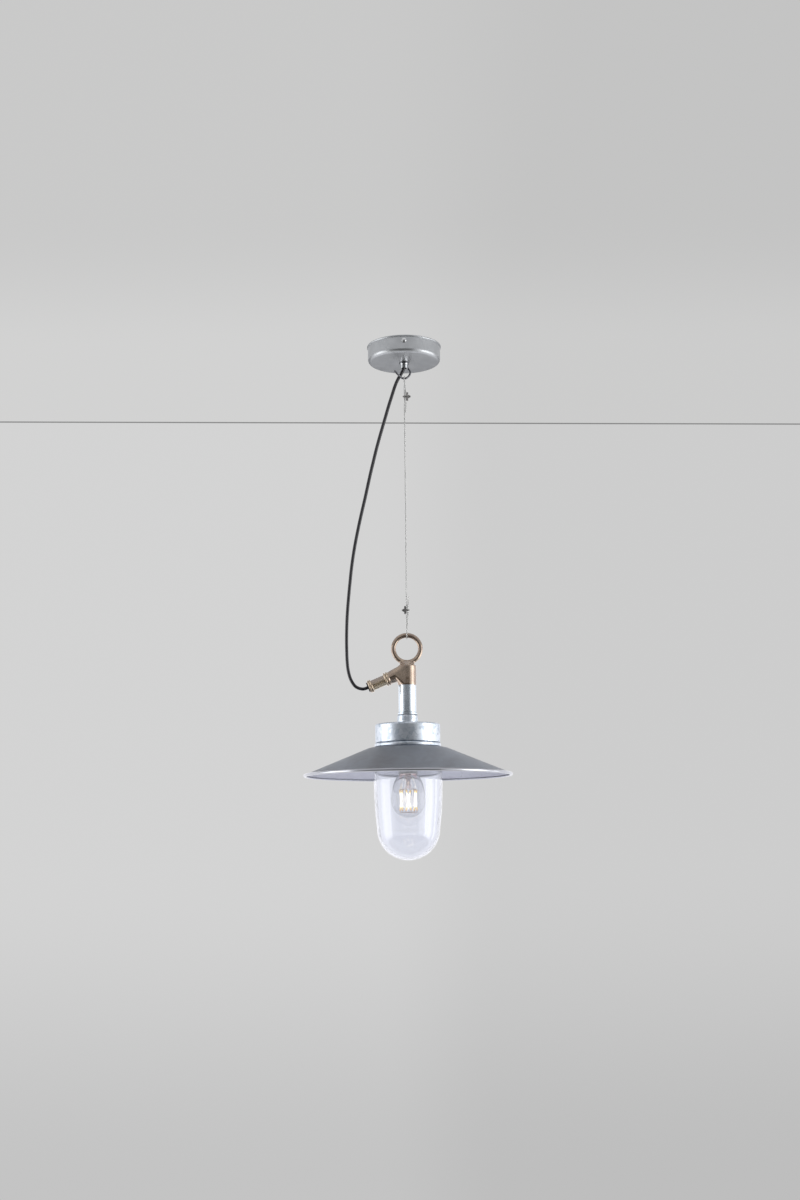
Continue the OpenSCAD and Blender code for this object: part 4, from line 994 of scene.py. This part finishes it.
# The soft lights stand upright on either side of the lamp. Each has its side, its middle along Y, its width,
# its power, and the widths over which it fades at its near and its far edge.
LIGHT_X = 1.1
LIGHT_Z = -0.46
LIGHT_TALL = 1.8
LIGHT_END_FADE = 0.30
SOFT_LIGHTS = {
    "softbox_left": dict(side=-1, y=-0.07, width=1.04, power=10.5, near_fade=0.06, far_fade=0.55),
    "softbox_right": dict(side=1, y=-0.265, width=0.93, power=13, near_fade=0.10, far_fade=0.40),
    "card_right": dict(side=1, y=-1.2, width=1.1, power=5.2, near_fade=0.45, far_fade=0.10),
    "card_behind": dict(side=1, y=0.35, width=0.9, power=5.5, near_fade=0.10, far_fade=0.30),
}


def faded(tree, value, middle, width, near_fade, far_fade):
    """One across the middle of a width and nothing past its edges, with a soft fade inside each."""
    near, far = middle - width / 2, middle + width / 2
    rise = grade(tree, value, near, near + near_fade)
    return calculate(tree, "MULTIPLY", rise, grade(tree, value, far, far - far_fade))


def soft_light(name, side, y, width, power, near_fade, far_fade):
    """A tall soft light that the camera doesn't see, and that fades at all its edges."""
    data = bpy.data.lights.new(name, "AREA")
    data.shape = "RECTANGLE"
    data.size, data.size_y = width, LIGHT_TALL
    data.energy = power
    data.use_nodes = True
    tree = data.node_tree
    place = axes_of(tree, tree.nodes.new("ShaderNodeNewGeometry").outputs["Position"])
    across = faded(tree, place["Y"], y, width, near_fade, far_fade)
    along = faded(tree, place["Z"], LIGHT_Z, LIGHT_TALL, LIGHT_END_FADE, LIGHT_END_FADE)
    feed(tree, tree.nodes["Emission"].inputs["Strength"], calculate(tree, "MULTIPLY", across, along))
    light = bpy.data.objects.new(name, data)
    scene.collection.objects.link(light)
    light.location = (side * LIGHT_X, y, LIGHT_Z)
    light.rotation_euler = Vector((-side * LIGHT_X, 0, 0)).to_track_quat("-Z", "Y").to_euler()
    light.visible_camera = False
    light.visible_transmission = False


# The room: a ceiling on the mount's plane, a wall behind the lamp that stands a little askew, a dark strip of
# painted shade in the corner between them, and a floor far below.
ROOM_HALF = 4.0
WALL_Y = 0.375
WALL_TURN = 0.0445
FLOOR_Z = -2.0
CEILING_Z = 0.8 * MM
CORNER_SHADE_LINE = 2 * MM
CORNER_Z = CEILING_Z - CORNER_SHADE_LINE


def room_paint(name, tone, mirrored, grades, mirror_grades):
    """Matt paint with set tones for the camera, glass and metal, that lets the camera look in from behind."""
    material = bpy.data.materials.new(name)
    material.use_nodes = True
    tree = material.node_tree
    paint = tree.nodes["Principled BSDF"]
    feed(tree, paint.inputs["Base Color"], tone)
    feed(tree, paint.inputs["Roughness"], PAINT_ROUGHNESS)
    shown = flat_colour(tree, paint, graded_tone(tree, mirrored, mirror_grades), ["Is Glossy Ray"])
    shown = flat_colour(tree, shown, THROUGH_GLASS, ["Is Transmission Ray"])
    shown = flat_colour(tree, shown, graded_tone(tree, tone, grades), ["Is Camera Ray"])
    back = tree.nodes.new("ShaderNodeNewGeometry").outputs["Backfacing"]
    seen = tree.nodes.new("ShaderNodeLightPath").outputs["Is Camera Ray"]
    clear = tree.nodes.new("ShaderNodeBsdfTransparent")
    shown = mixed_shader(tree, calculate(tree, "MULTIPLY", back, seen), shown, clear)
    tree.links.new(shown.outputs[0], tree.nodes["Material Output"].inputs["Surface"])
    return material


def room_face(name, corners, tone, mirrored, grades, mirror_grades):
    """A flat face of the room, with its painted side given by the order of its corners."""
    mesh = bpy.data.meshes.new(name)
    mesh.from_pydata(corners, [], [(0, 1, 2, 3)])
    face = bpy.data.objects.new(name, mesh)
    scene.collection.objects.link(face)
    mesh.materials.append(room_paint(name, tone, mirrored, grades, mirror_grades))


def build_room():
    """The room's four faces, from the same corners."""
    left, right = (-ROOM_HALF, WALL_Y - ROOM_HALF * WALL_TURN), (ROOM_HALF, WALL_Y + ROOM_HALF * WALL_TURN)
    front_left, front_right = (-ROOM_HALF, -ROOM_HALF), (ROOM_HALF, -ROOM_HALF)
    ceiling = [(*corner, CEILING_Z) for corner in (front_left, left, right, front_right)]
    wall = [(*left, FLOOR_Z), (*right, FLOOR_Z), (*right, CORNER_Z), (*left, CORNER_Z)]
    floor = [(*corner, FLOOR_Z) for corner in (front_left, front_right, right, left)]
    line = [(*left, CORNER_Z), (*right, CORNER_Z), (*right, CEILING_Z), (*left, CEILING_Z)]
    room_face("ceiling", ceiling, CEILING_TONE, CEILING_MIRRORED, CEILING_LIGHT_GRADES, CEILING_MIRROR_GRADES)
    room_face("wall", wall, WALL_TONE, WALL_MIRRORED, WALL_LIGHT_GRADES, WALL_MIRROR_GRADES)
    room_face("floor", floor, WALL_TONE, FLOOR_MIRRORED, WALL_LIGHT_GRADES, FLOOR_MIRROR_GRADES)
    # Painted shade: a dark strip where the corner's shadow falls.
    room_face("corner_shade_line", line, CORNER_SHADE_TONE, WALL_MIRRORED, WALL_LIGHT_GRADES, WALL_MIRROR_GRADES)


deselect_all()
studio_world()
build_room()
for light_name, values in SOFT_LIGHTS.items():
    soft_light(light_name, **values)
